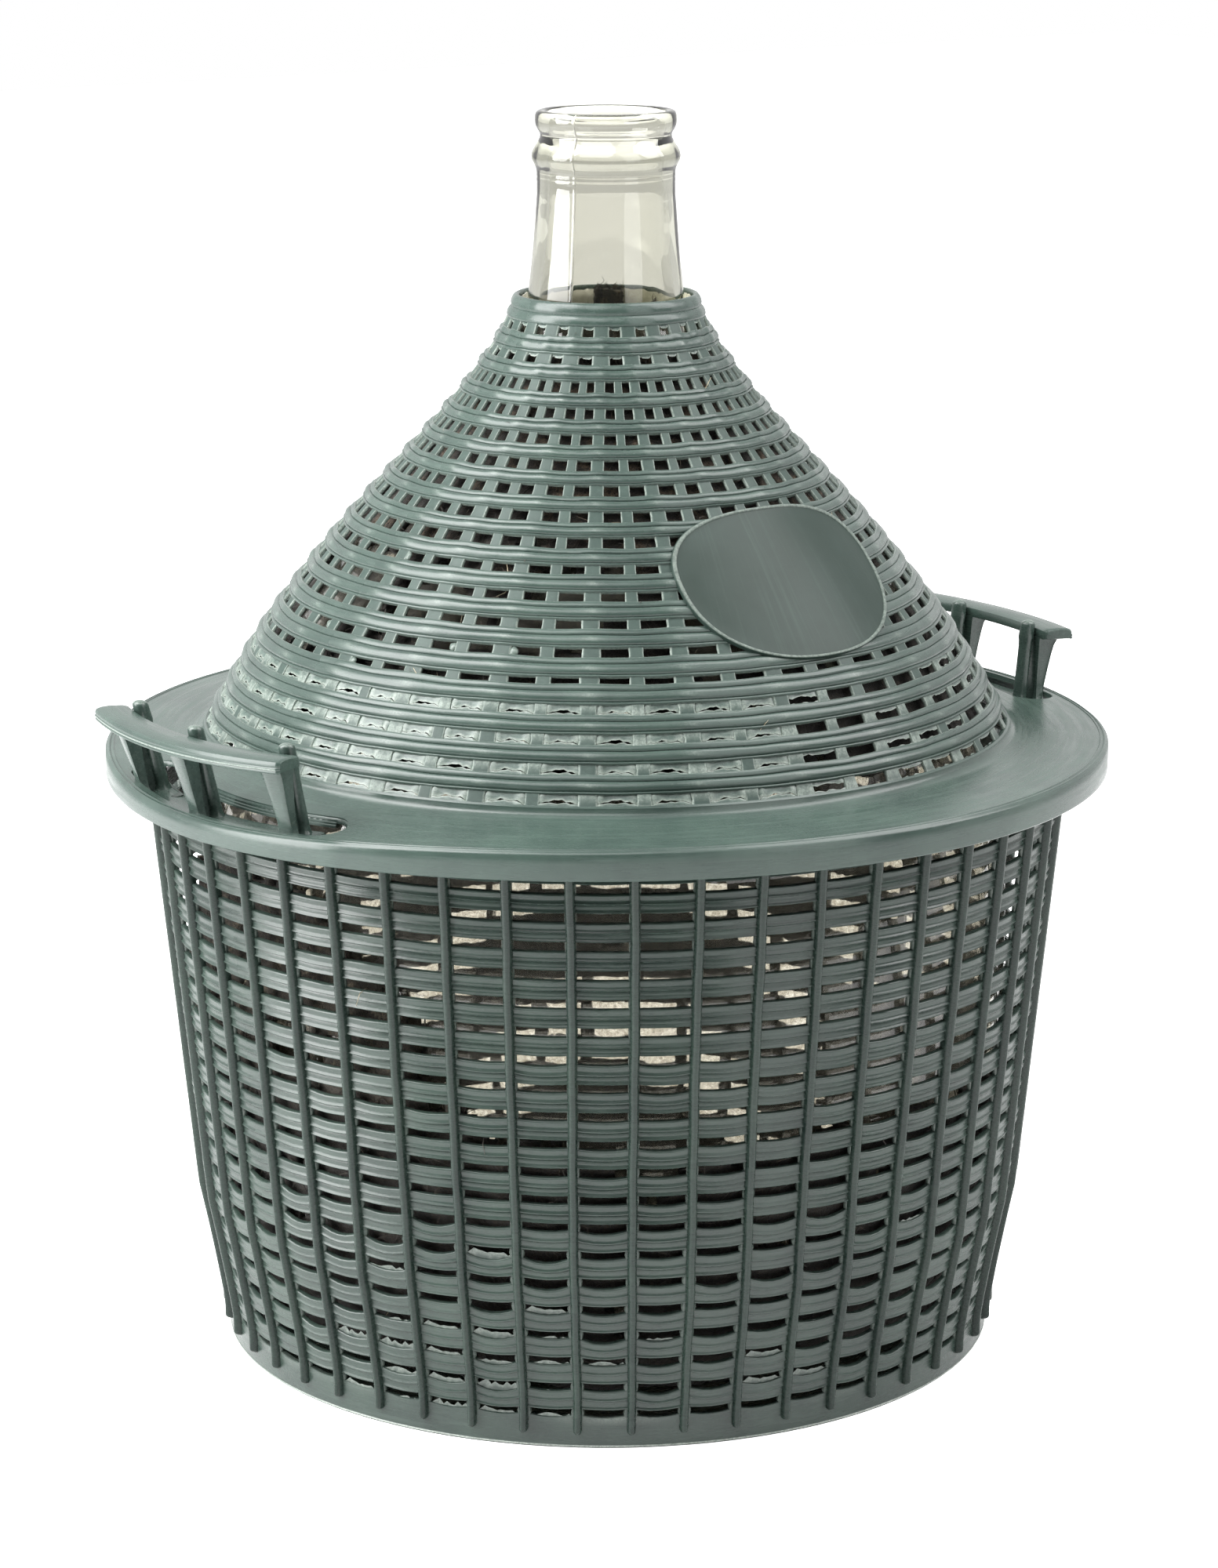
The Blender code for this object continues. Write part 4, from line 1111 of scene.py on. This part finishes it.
# the outer block of a post: widest under the grip, waisted, flared again at the foot;
# height, half width, inner and outer radius, then a plan of (share outwards, share of the half width)
webLevels = ((0.2410, 0.0052, 0.1895, 0.1930), (0.2426, 0.0040, 0.1902, 0.1936),
             (0.2442, 0.0033, 0.1906, 0.1938), (0.2480, 0.0030, 0.1908, 0.1944),
             (0.2550, 0.0034, 0.1909, 0.1958), (0.2610, 0.0040, 0.1909, 0.1970),
             (0.2650, 0.0045, 0.1909, 0.1980), (0.2672, 0.0049, 0.1908, 0.1992),
             (0.2688, 0.0054, 0.1908, 0.2004))
webPlan = ((0, -1), (0.5, -1.0), (0.86, -1.0), (0.93, -1.06), (1, -0.92), (1.03, -0.5), (1.04, 0),
           (1.03, 0.5), (1, 0.92), (0.93, 1.06), (0.86, 1.0), (0.5, 1.0), (0, 1), (-0.04, 0.6), (-0.05, 0),
           (-0.04, -0.6))


def webMesh(angle):
    rows = []
    for height, half, inner, outer in webLevels:
        places = [(inner + (outer - inner) * radial, side) for radial, side in webPlan]
        rows.append([polar(radius, radians(angle) + side * half / radius, height)
                     for radius, side in places])
    return tube("web", rows)


def turnedTo(angle, x, y, height):
    return tuple(Matrix.Rotation(radians(angle), 3, "Z") @ Vector((x, y, height)))


def columnMesh(angle):
    # the inner round column, leaning out, with its domed knob through the grip
    h = handle
    knob = h["knobRadius"] / h["columnRadius"]
    heights = [(0.2410, 1.5), (0.2422, 1.25), (0.2434, 1.05), (0.2455, 1.0), (0.2560, 0.98), (0.2640, 1.0),
               (0.2672, 1.08), (0.2682, 1.17), (0.2726, knob), (0.2732, knob),
               (h["knobFoot"], h["knobShare"] * knob)]
    for turn in [0.5 * pi * k / 5 for k in range(1, 6)]:
        heights.append((h["knobFoot"] + (h["knobTop"] - h["knobFoot"]) * sin(turn),
                        h["knobShare"] * knob * cos(turn)))
    rows = []
    for height, size in heights:
        share = (height - h["columnFrom"]) / (h["knobTop"] - h["columnFrom"])
        centre = h["columnFoot"] + (h["columnTop"] - h["columnFoot"]) * share
        radius = size * h["columnRadius"]
        rows.append([turnedTo(angle, centre + radius * cos(turn), radius * sin(turn), height)
                     for turn in evenly(20)])
    return tube("column", rows)


handleParts = [arcSweep(handle["gripSection"], handle["gripAngle"], handle["gripSteps"]),
               arcSweep(handle["footSection"], handle["footAngle"], handle["footSteps"], handle["footEnd"])]
for angle in handle["postAngles"]:
    # a thin tie joins each column to its block, as the two are one moulding
    tie = [[turnedTo(angle, radius, side, height) for radius, height in handle["tieSection"]]
           for side in (-handle["tieHalf"], handle["tieHalf"])]
    handleParts += [webMesh(angle), columnMesh(angle), tube("tie", tie)]
for node in ("handle_left", "handle_right"):
    low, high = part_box(node)
    side = 1 if low[0] + high[0] > 0 else -1
    mesh = joinedMeshes(node + "_moulding", handleParts)
    mesh.transform(Matrix.Rotation(0 if side > 0 else pi, 4, "Z"))
    wearAndPaintedLight = mesh.attributes.new("wearAndPaintedLight", "FLOAT", "POINT")
    for point, value in zip(mesh.vertices, wearAndPaintedLight.data):
        # a thin line of flash along the grip's outer face, and rubbed knobs
        parting = hypot(point.co.x, point.co.y) > handle["partingRadius"]
        knob = handle["knobWear"] if point.co.z > handle["knobWearFrom"] else 0.0
        value.value = handle["partingWear"] if parting else knob
    if side < 0:
        drooped(mesh, *droop["handle"])
    moulding(node + "_moulding", mesh, lidPlastic, node)
print("stage: handles made")


# the glass balloon, one closed wall inside and out

glass = {
    "outer": ((0.0950, 0.0115), (0.1220, 0.0197), (0.1436, 0.0442), (0.1570, 0.0893), (0.1605, 0.1504),
              (0.1570, 0.2118), (0.1357, 0.2769), (0.1078, 0.3144), (0.0768, 0.3495), (0.0470, 0.3838),
              (0.0338, 0.4040), (0.0294, 0.4303), (0.0270, 0.4590)),
    "finish": ((0.0270, 0.4640), (0.02712, 0.4646), (0.0270, 0.4652), (0.0270, 0.4658), (0.02712, 0.4663),
               (0.0270, 0.4668), (0.0273, 0.4688), (0.0281, 0.4706), (0.0289, 0.4722), (0.0291, 0.4736),
               (0.0288, 0.4752), (0.0280, 0.4768), (0.0267, 0.4788), (0.0258, 0.4806), (0.0256, 0.4816),
               (0.0259, 0.4826), (0.0268, 0.4840), (0.0275, 0.4856), (0.0277, 0.4876), (0.0276, 0.4893),
               (0.0271, 0.4904), (0.0261, 0.4910), (0.0250, 0.4911), (0.0238, 0.4908), (0.0229, 0.4898),
               (0.0225, 0.4880)),
    "inner": ((0.02248, 0.4720), (0.0225, 0.4630), (0.0231, 0.4520), (0.0249, 0.4303), (0.0300, 0.4029),
              (0.0440, 0.3820), (0.0739, 0.3475), (0.1048, 0.3125), (0.1324, 0.2755), (0.1538, 0.2113),
              (0.1573, 0.1504), (0.1538, 0.0898), (0.1408, 0.0457), (0.1195, 0.0217), (0.0950, 0.0165)),
    "punt": 0.0225, "puntFoot": 0.0175, "around": 192, "seamAngle": radians(-153), "seamRise": 0.00035,
    "curveSteps": 8}
glassProfile = [(0.0, glass["puntFoot"]), (0.0400, glass["puntFoot"] - 0.0006),
                (0.0700, glass["puntFoot"] - 0.0026)]
glassProfile += smoothThrough(glass["outer"], glass["curveSteps"])
glassProfile += [*glass["finish"], *smoothThrough(glass["inner"], glass["curveSteps"])]
glassProfile += [(0.0600, 0.0205), (0.0, glass["punt"])]


def glassSeam(index, angle, radius, height):
    # a fine mould seam up the outside of the neck and lip, and slow waves in the blown body
    outside = index < glass["curveSteps"] * (len(glass["outer"]) - 1) + len(glass["finish"])
    away = abs(remainder(angle - glass["seamAngle"], wholeTurn))
    rise = glass["seamRise"] * max(0.0, 1 - away / 0.012) if height > 0.40 and outside else 0.0
    return rise + (0.00025 * noiseAt(cos(angle) * 3, sin(angle) * 3, height * 30) if height > 0.03 else 0.0)


seam = glass["seamAngle"] % wholeTurn
glassAngles = [angle for angle in evenly(glass["around"]) if abs(angle - seam) > 0.014]
glassAngles = sorted(glassAngles + [seam + step for step in (-0.012, -0.004, 0.0, 0.004, 0.012)])
balloon = turnedMesh("balloon_glass", glassProfile, glassAngles, glassSeam)
piece("balloon_glass", balloon, clearGlass, "bottle", ["glass_balloon"], 80)
print("stage: glass made")


# wadding: torn sheets of carded fibre between the glass and the plastic, thin or missing in places

# degrees round: straight away from the camera, and where the tuft stands up behind the neck
farTurn, tuftTurn = 53, 51


def glassRadius(height):
    points = glass["outer"]
    for (r0, z0), (r1, z1) in zip(points, points[1:]):
        if z0 <= height <= z1:
            return r0 + (r1 - r0) * (height - z0) / (z1 - z0)
    return points[0][0] if height < points[0][1] else points[-1][0]


def largestIsland(faces):
    # bits torn right off a sheet would hang in the air, so only its connected part stays
    left, largest = set(faces), set()
    while left:
        island, reach = set(), [left.pop()]
        while reach:
            face = reach.pop()
            island.add(face)
            for other in [other for edge in face.edges for other in edge.link_faces]:
                if other in left:
                    left.remove(other)
                    reach.append(other)
        if len(island) > len(largest):
            largest = island
    return largest


def waddingMesh(name, outline, lengths, steps, missing, topEdge, thickness, lumps, seed, dust=None):
    # a sheet on the outline's inner side; missing(angle, height) over 0 tears a hole
    rows, dusty = [], []
    for angle in evenly(steps):
        row = []
        for along in lengths:
            point, outward = pointOn(outline, along)
            x, y, z = polar(point.x, angle, point.y)
            lump = lumps * noiseAt(x * 55 + seed, y * 55, z * 75)
            lump += 0.4 * lumps * noiseAt(x * 190 + seed, y * 190, z * 210)
            row.append(polar(point.x + outward.x * lump, angle, z + outward.y * lump))
        rows.append(row)
        # each point's paleness, which in the basket's wadding is dust and painted light
        dusty.append([dust(angle, point[2]) if dust else 0.0 for point in row])
    mesh = gridMesh(name, rows, loopAlong=True, wearAndPaintedLight=dusty, closed=False)
    edit = bmesh.new()
    edit.from_mesh(mesh)
    gone = []
    for face in edit.faces:
        middle = face.calc_center_median()
        angle = atan2(middle.y, middle.x)
        if middle.z > topEdge(angle) or missing(angle, middle.z) > 0:
            gone.append(face)
    bmesh.ops.delete(edit, geom=gone, context="FACES")
    kept = largestIsland(edit.faces)
    bmesh.ops.delete(edit, geom=[face for face in edit.faces if face not in kept], context="FACES")
    bmesh.ops.recalc_face_normals(edit, faces=edit.faces)
    edit.to_mesh(mesh)
    edit.free()
    sheet = linked(bpy.data.objects.new(name, mesh))
    wall = sheet.modifiers.new("thickness", "SOLIDIFY")
    wall.thickness, wall.offset = thickness, -1
    return cleaned(evaluatedMesh(sheet))


def tearNoise(angle, height, fine, seed):
    return noiseAt(cos(angle) * fine + seed, sin(angle) * fine, height * fine * 6)


# upper edge of the wadding in the basket, in degrees round and metres up: high at the left, low in front
# and behind, lowest in two places behind
lowerEdge = ((-180, 0.212), (-168, 0.204), (-158, 0.182), (-152, 0.160), (-143, 0.124), (-120, 0.119),
             (-100, 0.117), (-86, 0.118), (-75, 0.121), (-60, 0.117), (-42, 0.108), (-26, 0.112),
             (-10, 0.122), (6, 0.102), (16, 0.070), (23, 0.054), (30, 0.060), (36, 0.058), (42, 0.092),
             (57, 0.104), (64, 0.080), (72, 0.052), (80, 0.066), (100, 0.148), (122, 0.158), (138, 0.130),
             (148, 0.150), (158, 0.205), (170, 0.214), (180, 0.212))


def lowerTop(angle):
    turn = degrees(remainder(angle, wholeTurn))
    for (a, low), (b, high) in zip(lowerEdge, lowerEdge[1:]):
        if a <= turn <= b:
            top = low + (high - low) * (turn - a) / (b - a)
    ragged = ((0.006, 6, 11), (0.006, 14, 3), (0.005, 40, 7))
    return top + sum(size * tearNoise(angle, 0.0, fine, seed) for size, fine, seed in ragged)


def behind(angle):
    # 1 in the middle of the side away from the camera, 0 on the near half
    return max(0.0, cos(angle - radians(farTurn)))


def sparse(angle):
    # 1 in the two thin places on the far side, and below 0 in the whole strip between them
    return peak(angle, 73, 8) + peak(angle, 27, 10) - 0.55 * peak(angle, 50, 9)


def lowerTears(angle, height):
    # thin and torn towards its upper edge, with a gap low down behind
    ragged = tearNoise(angle, height, 5.0, 21.0) + 0.5 * tearNoise(angle, height, 18.0, 5.0)
    thin = clamped(1 - (lowerTop(angle) - height) / 0.030)
    gap = exp(-((height - 0.046) / 0.010) ** 4) * behind(angle) ** 3
    return ragged - 0.52 + 0.25 * thin + 1.2 * gap + 0.75 * sparse(angle)


def lowerDustAndPaintedLight(angle, height):
    # full on the far side and 0.35 in a band higher up: dust, and painted light as well, pale behind for the
    # glass's reflections seen through the windows and paler higher up to lift the wadding's shade
    high = clamped((height - 0.12) / 0.02) * clamped((0.205 - height) / 0.015)
    return 0.9 * min(1.0, 2 * behind(angle)) + 0.35 * high


def lowerRadius(height):
    # a little outside the middle between the glass and the basket's wall
    return 0.5 * (basketRadius(height) - 0.0022 + glassRadius(height)) + 0.0022


lowerOutline = [(lowerRadius(height), height) for height in [0.016 + 0.206 * k / 60 for k in range(61)]]
lowerLengths = [lengthsAlong(lowerOutline)[-1] * k / 98 for k in range(99)]
lowerWadding = waddingMesh("wadding_lower", lowerOutline, lowerLengths, 260, lowerTears, lowerTop,
                           0.0035, 0.0022, 2.0, lowerDustAndPaintedLight)

upperOutline = []
for down in [0.2085 - 0.2085 * k / 60 for k in range(61)]:
    height = lidPoint(down)[1]
    cone, ball = Vector(lidPoint(down, -0.0030)), Vector((glassRadius(height), height))
    upperOutline.append(tuple(0.56 * cone + 0.44 * ball))
upperOutline += [(0.0330, 0.4215), (0.0325, 0.4280)]


def upperTop(angle):
    # a block of wadding stands up behind the neck, with bits and a haze of fibre beside it
    tuft = peak(angle, tuftTurn, 10)
    block = 0.0155 * min(1.0, 2.5 * tuft) * (tuft > 0.25)
    beside = 0.0130 * peak(angle, 12, 9) + 0.0070 * peak(angle, 76, 12)
    return 0.4030 + block + beside + 0.0012 * tearNoise(angle, 0.0, 60, 9)


def upperTears(angle, height):
    # missing behind the middle rows of windows, where the lid stands well off the glass
    gap = exp(-((height - 0.312) / 0.018) ** 2)
    return tearNoise(angle, height, 5.5, 31.0) + 0.5 * tearNoise(angle, height, 20.0, 8.0) - 0.50 + 0.9 * gap


# coarse steps up to the neck, and fine ones for the last 18 mm
upperTotal = lengthsAlong(upperOutline)[-1] - 0.018
upperLengths = [upperTotal * k / 56 for k in range(57)] + [upperTotal + 0.0006 * k for k in range(1, 31)]
upperWadding = waddingMesh("wadding_upper", upperOutline, upperLengths, 240, upperTears, upperTop, 0.0022,
                           0.0016, 5.0)


def strandMesh(name, seed, length, radius):
    # a curly three-sided strand that lies along its bed and lifts at its ends
    wander = random.Random(seed)
    phase, curl = wander.uniform(0, 6), wander.uniform(0.5, 1.3)
    path = []
    for t in [step / 6 - 0.5 for step in range(7)]:
        lift = 0.10 * length * curl * (abs(2 * t) ** 2) + 0.0004
        path.append(Vector((length * t, 0.18 * length * sin(phase + 7 * t) * curl, lift)))
    rows = []
    for index, point in enumerate(path):
        way = (path[min(index + 1, 6)] - path[max(index - 1, 0)]).normalized()
        side = way.cross(Vector((0, 0, 1))).normalized()
        up = side.cross(way)
        size = radius * (0.5 if index in (0, 6) else 1.0)
        rows.append([tuple(point + side * size * cos(turn) + up * size * sin(turn))
                     for turn in (0.5, 2.6, 4.7)])
    return tube(name, rows)


def strandTree():
    # strands scattered on a sheet of wadding
    tree, given, cells = geometryTree("loose strands on wadding", {
        "Wadding": "Geometry", "Cells": "Collection", "Strands per m2": "Float", "Smallest": "Float",
        "Largest": "Float", "Seed": "Int", "Material": "Material"})
    spots = addNode(tree, "GeometryNodeDistributePointsOnFaces", {
        "Mesh": given["Wadding"], "Density": given["Strands per m2"], "Seed": given["Seed"]})
    spin = addNode(tree, "FunctionNodeRandomValue", {
        "Min": (-0.35, -0.35, 0.0), "Max": (0.35, 0.35, 6.283), "Seed": given["Seed"]},
        data_type="FLOAT_VECTOR")
    turn = addNode(tree, "FunctionNodeRotateRotation", {
        "Rotation": spots.outputs["Rotation"], "Rotate By": spin}, rotation_space="LOCAL")
    size = addNode(tree, "FunctionNodeRandomValue", {
        2: given["Smallest"], 3: given["Largest"], "Seed": given["Seed"]}, data_type="FLOAT")
    placed = addNode(tree, "GeometryNodeInstanceOnPoints", {
        "Points": spots.outputs["Points"], "Instance": cells, "Pick Instance": True, "Rotation": turn,
        "Scale": size.outputs[1]})
    return endTree(tree, addNode(tree, "GeometryNodeRealizeInstances", {0: placed}), given["Material"])


strandNodes = strandTree()


def strandsOn(name, mesh, lengthRange, radius, density, seed, material):
    shortest, longest = lengthRange
    cells = [strandMesh(f"{name}_{number}", seed + number, longest, radius) for number in range(5)]
    return settled(name, mesh.copy(), strandNodes, cells, {
        "Strands per m2": density, "Smallest": shortest / longest, "Largest": 1.0, "Seed": seed,
        "Material": material})


# lint lines the far side of the collar, behind the tuft; it is coloured near white as painted light, where
# the narrow gap between the glass and the collar would lie in shade
paintedLightLintRows, paintedLightLintWear = [], []
for angle in [radians(-37 + 3 * step) for step in range(61)]:
    top = 0.4186 + 0.0008 * tearNoise(angle, 0.0, 30, 13)
    paintedLightLintRows.append([polar(radius, angle, height) for radius, height in (
        (0.0334, 0.4060), (0.0332, 0.4105), (0.0330, 0.4150), (0.0329, top), (0.0331, top), (0.0333, 0.4150),
        (0.0335, 0.4105), (0.0337, 0.4060))])
    paintedLightLintWear.append([max(0.0, 0.5 + tearNoise(angle, 0.0, 24, 17))] * 8)
fibrePiece("wadding_neck_lint", tube("lint", paintedLightLintRows, paintedLightLintWear), paintedLightLintFibre)

# the tuft grows out of a narrow upright bed
tuftRows = []
for turn in range(-11, 12):
    tuftHeight = 0.0088 + 0.0008 * sin(turn)
    tuftRows.append([polar(0.0322 + 0.0004 * (k % 2), radians(tuftTurn + turn), 0.4110 + tuftHeight * k / 6)
                     for k in range(7)])
tuftBed = gridMesh("tuft_bed", tuftRows, closed=False)
tuft = strandsOn("tuft", tuftBed, (0.0014, 0.0036), 0.00011, 1.1e7, 41, strandFibre)
fibrePiece("wadding_neck_tuft", tuft, strandFibre)

for part, sheet, density, bed in (("lower", lowerWadding, 26000.0, lowerFibre),
                                  ("upper", upperWadding, 24000.0, darkFibre)):
    loose = strandsOn(f"strands_{part}", sheet, (0.006, 0.016), 0.00016, density, 17, strandFibre)
    straw = strandsOn(f"straws_{part}", sheet, (0.012, 0.030), 0.00022, 260.0, 29, strawFibre)
    fibrePiece(f"wadding_{part}", sheet, bed)
    fibrePiece(f"wadding_{part}_strands", loose, strandFibre)
    fibrePiece(f"wadding_{part}_straws", straw, strawFibre)
print("stage: wadding made")


# camera, light and floor

studio = {"azimuth": -127.0, "away": (0.6018, 0.7986, 0.0), "dimFrom": -0.50, "brightFrom": 0.35,
          "dim": 0.09,
          "bright": 1.0, "floorBounce": 0.28, "floorReach": 6}
white = (1.0, 1.0, 1.0, 1.0)
camera = bpy.data.cameras.new("camera")
camera.lens, camera.sensor_width = 99.0, 36.0
camera.clip_start, camera.clip_end = 0.05, 50.0
cameraObject = linked(bpy.data.objects.new("camera", camera))
cameraObject.location = (-1.0152, -1.3486, 0.6248)
cameraTurns = ((-37, "Z"), (76.58, "X"), (-0.08, "Z"))
heading, tilt, roll = [Matrix.Rotation(radians(turn), 3, axis) for turn, axis in cameraTurns]
cameraObject.rotation_euler = (heading @ tilt @ roll).to_euler()
bpy.context.scene.camera = cameraObject

# the room is white behind and beside the object and dim on the photographer's side, as in a light tent
world = bpy.data.worlds.new("white room")
bpy.context.scene.world = world
world.use_nodes = True
roomTree = world.node_tree
room = roomTree.nodes["Background"]
direction = addNode(roomTree, "ShaderNodeTexCoord").outputs["Generated"]
away = vectorMath(roomTree, "DOT_PRODUCT", direction, studio["away"]).outputs["Value"]
glow = mapped(roomTree, away, studio["dimFrom"], studio["brightFrom"], studio["dim"], studio["bright"],
              interpolation_type="SMOOTHSTEP")
seen = addNode(roomTree, "ShaderNodeLightPath").outputs["Is Camera Ray"]
roomLight = addNode(roomTree, "ShaderNodeMix", {0: seen, 2: glow, 3: 1.0}, data_type="FLOAT")
feed(roomTree, room, {"Strength": roomLight.outputs[0]})
room.inputs["Color"].default_value = white


def softbox(name, azimuth, height, distance, size, power, onlyGloss=False):
    # azimuth 0 is on the camera's side, positive to its right
    lamp = bpy.data.lights.new(name, "AREA")
    lamp.shape, lamp.size, lamp.size_y, lamp.energy = "RECTANGLE", size[0], size[1], power
    made = linked(bpy.data.objects.new(name, lamp))
    made.location = polar(distance, radians(azimuth + studio["azimuth"]), height)
    made.rotation_euler = (Vector((0, 0, 0.2)) - made.location).to_track_quat("-Z", "Y").to_euler()
    # the glass mirrors the lamps but doesn't show them through itself, where they would burn out
    made.visible_transmission = False
    made.visible_diffuse = not onlyGloss


softbox("softbox at the right", 86, 1.45, 1.15, (1.0, 1.8), 31)
softbox("pale wall at the right", 42, 0.9, 1.4, (0.75, 1.6), 9, onlyGloss=True)
softbox("softbox at the left", -76, 1.05, 1.3, (1.0, 2.2), 73)
softbox("softbox overhead", -20, 1.6, 1.0, (1.2, 1.0), 15)

# to the eye, and through the glass, the paper is the white of the background; its bounce is weaker
floorMaterial, floorTree, paper = newMaterial("white paper sweep", {
    "Base Color": (0.8, 0.8, 0.8, 1.0), "Roughness": 0.9, "Emission Color": white})
floorPath = addNode(floorTree, "ShaderNodeLightPath").outputs
paperSeen = mathNode(floorTree, "MAXIMUM", floorPath["Is Camera Ray"], floorPath["Is Transmission Ray"])
lit = addNode(floorTree, "ShaderNodeMix", {0: paperSeen, 2: studio["floorBounce"], 3: 1.0},
              data_type="FLOAT")
feed(floorTree, paper, {"Emission Strength": lit.outputs[0]})
ground = bpy.data.meshes.new("floor")
reach = studio["floorReach"]
corners = [(-reach, -reach, 0), (reach, -reach, 0), (reach, reach, 0), (-reach, reach, 0)]
ground.from_pydata(corners, [], [(0, 1, 2, 3)])
ground.materials.append(floorMaterial)
floorObject = linked(bpy.data.objects.new("floor", ground))
print("stage: camera, light and floor ready")
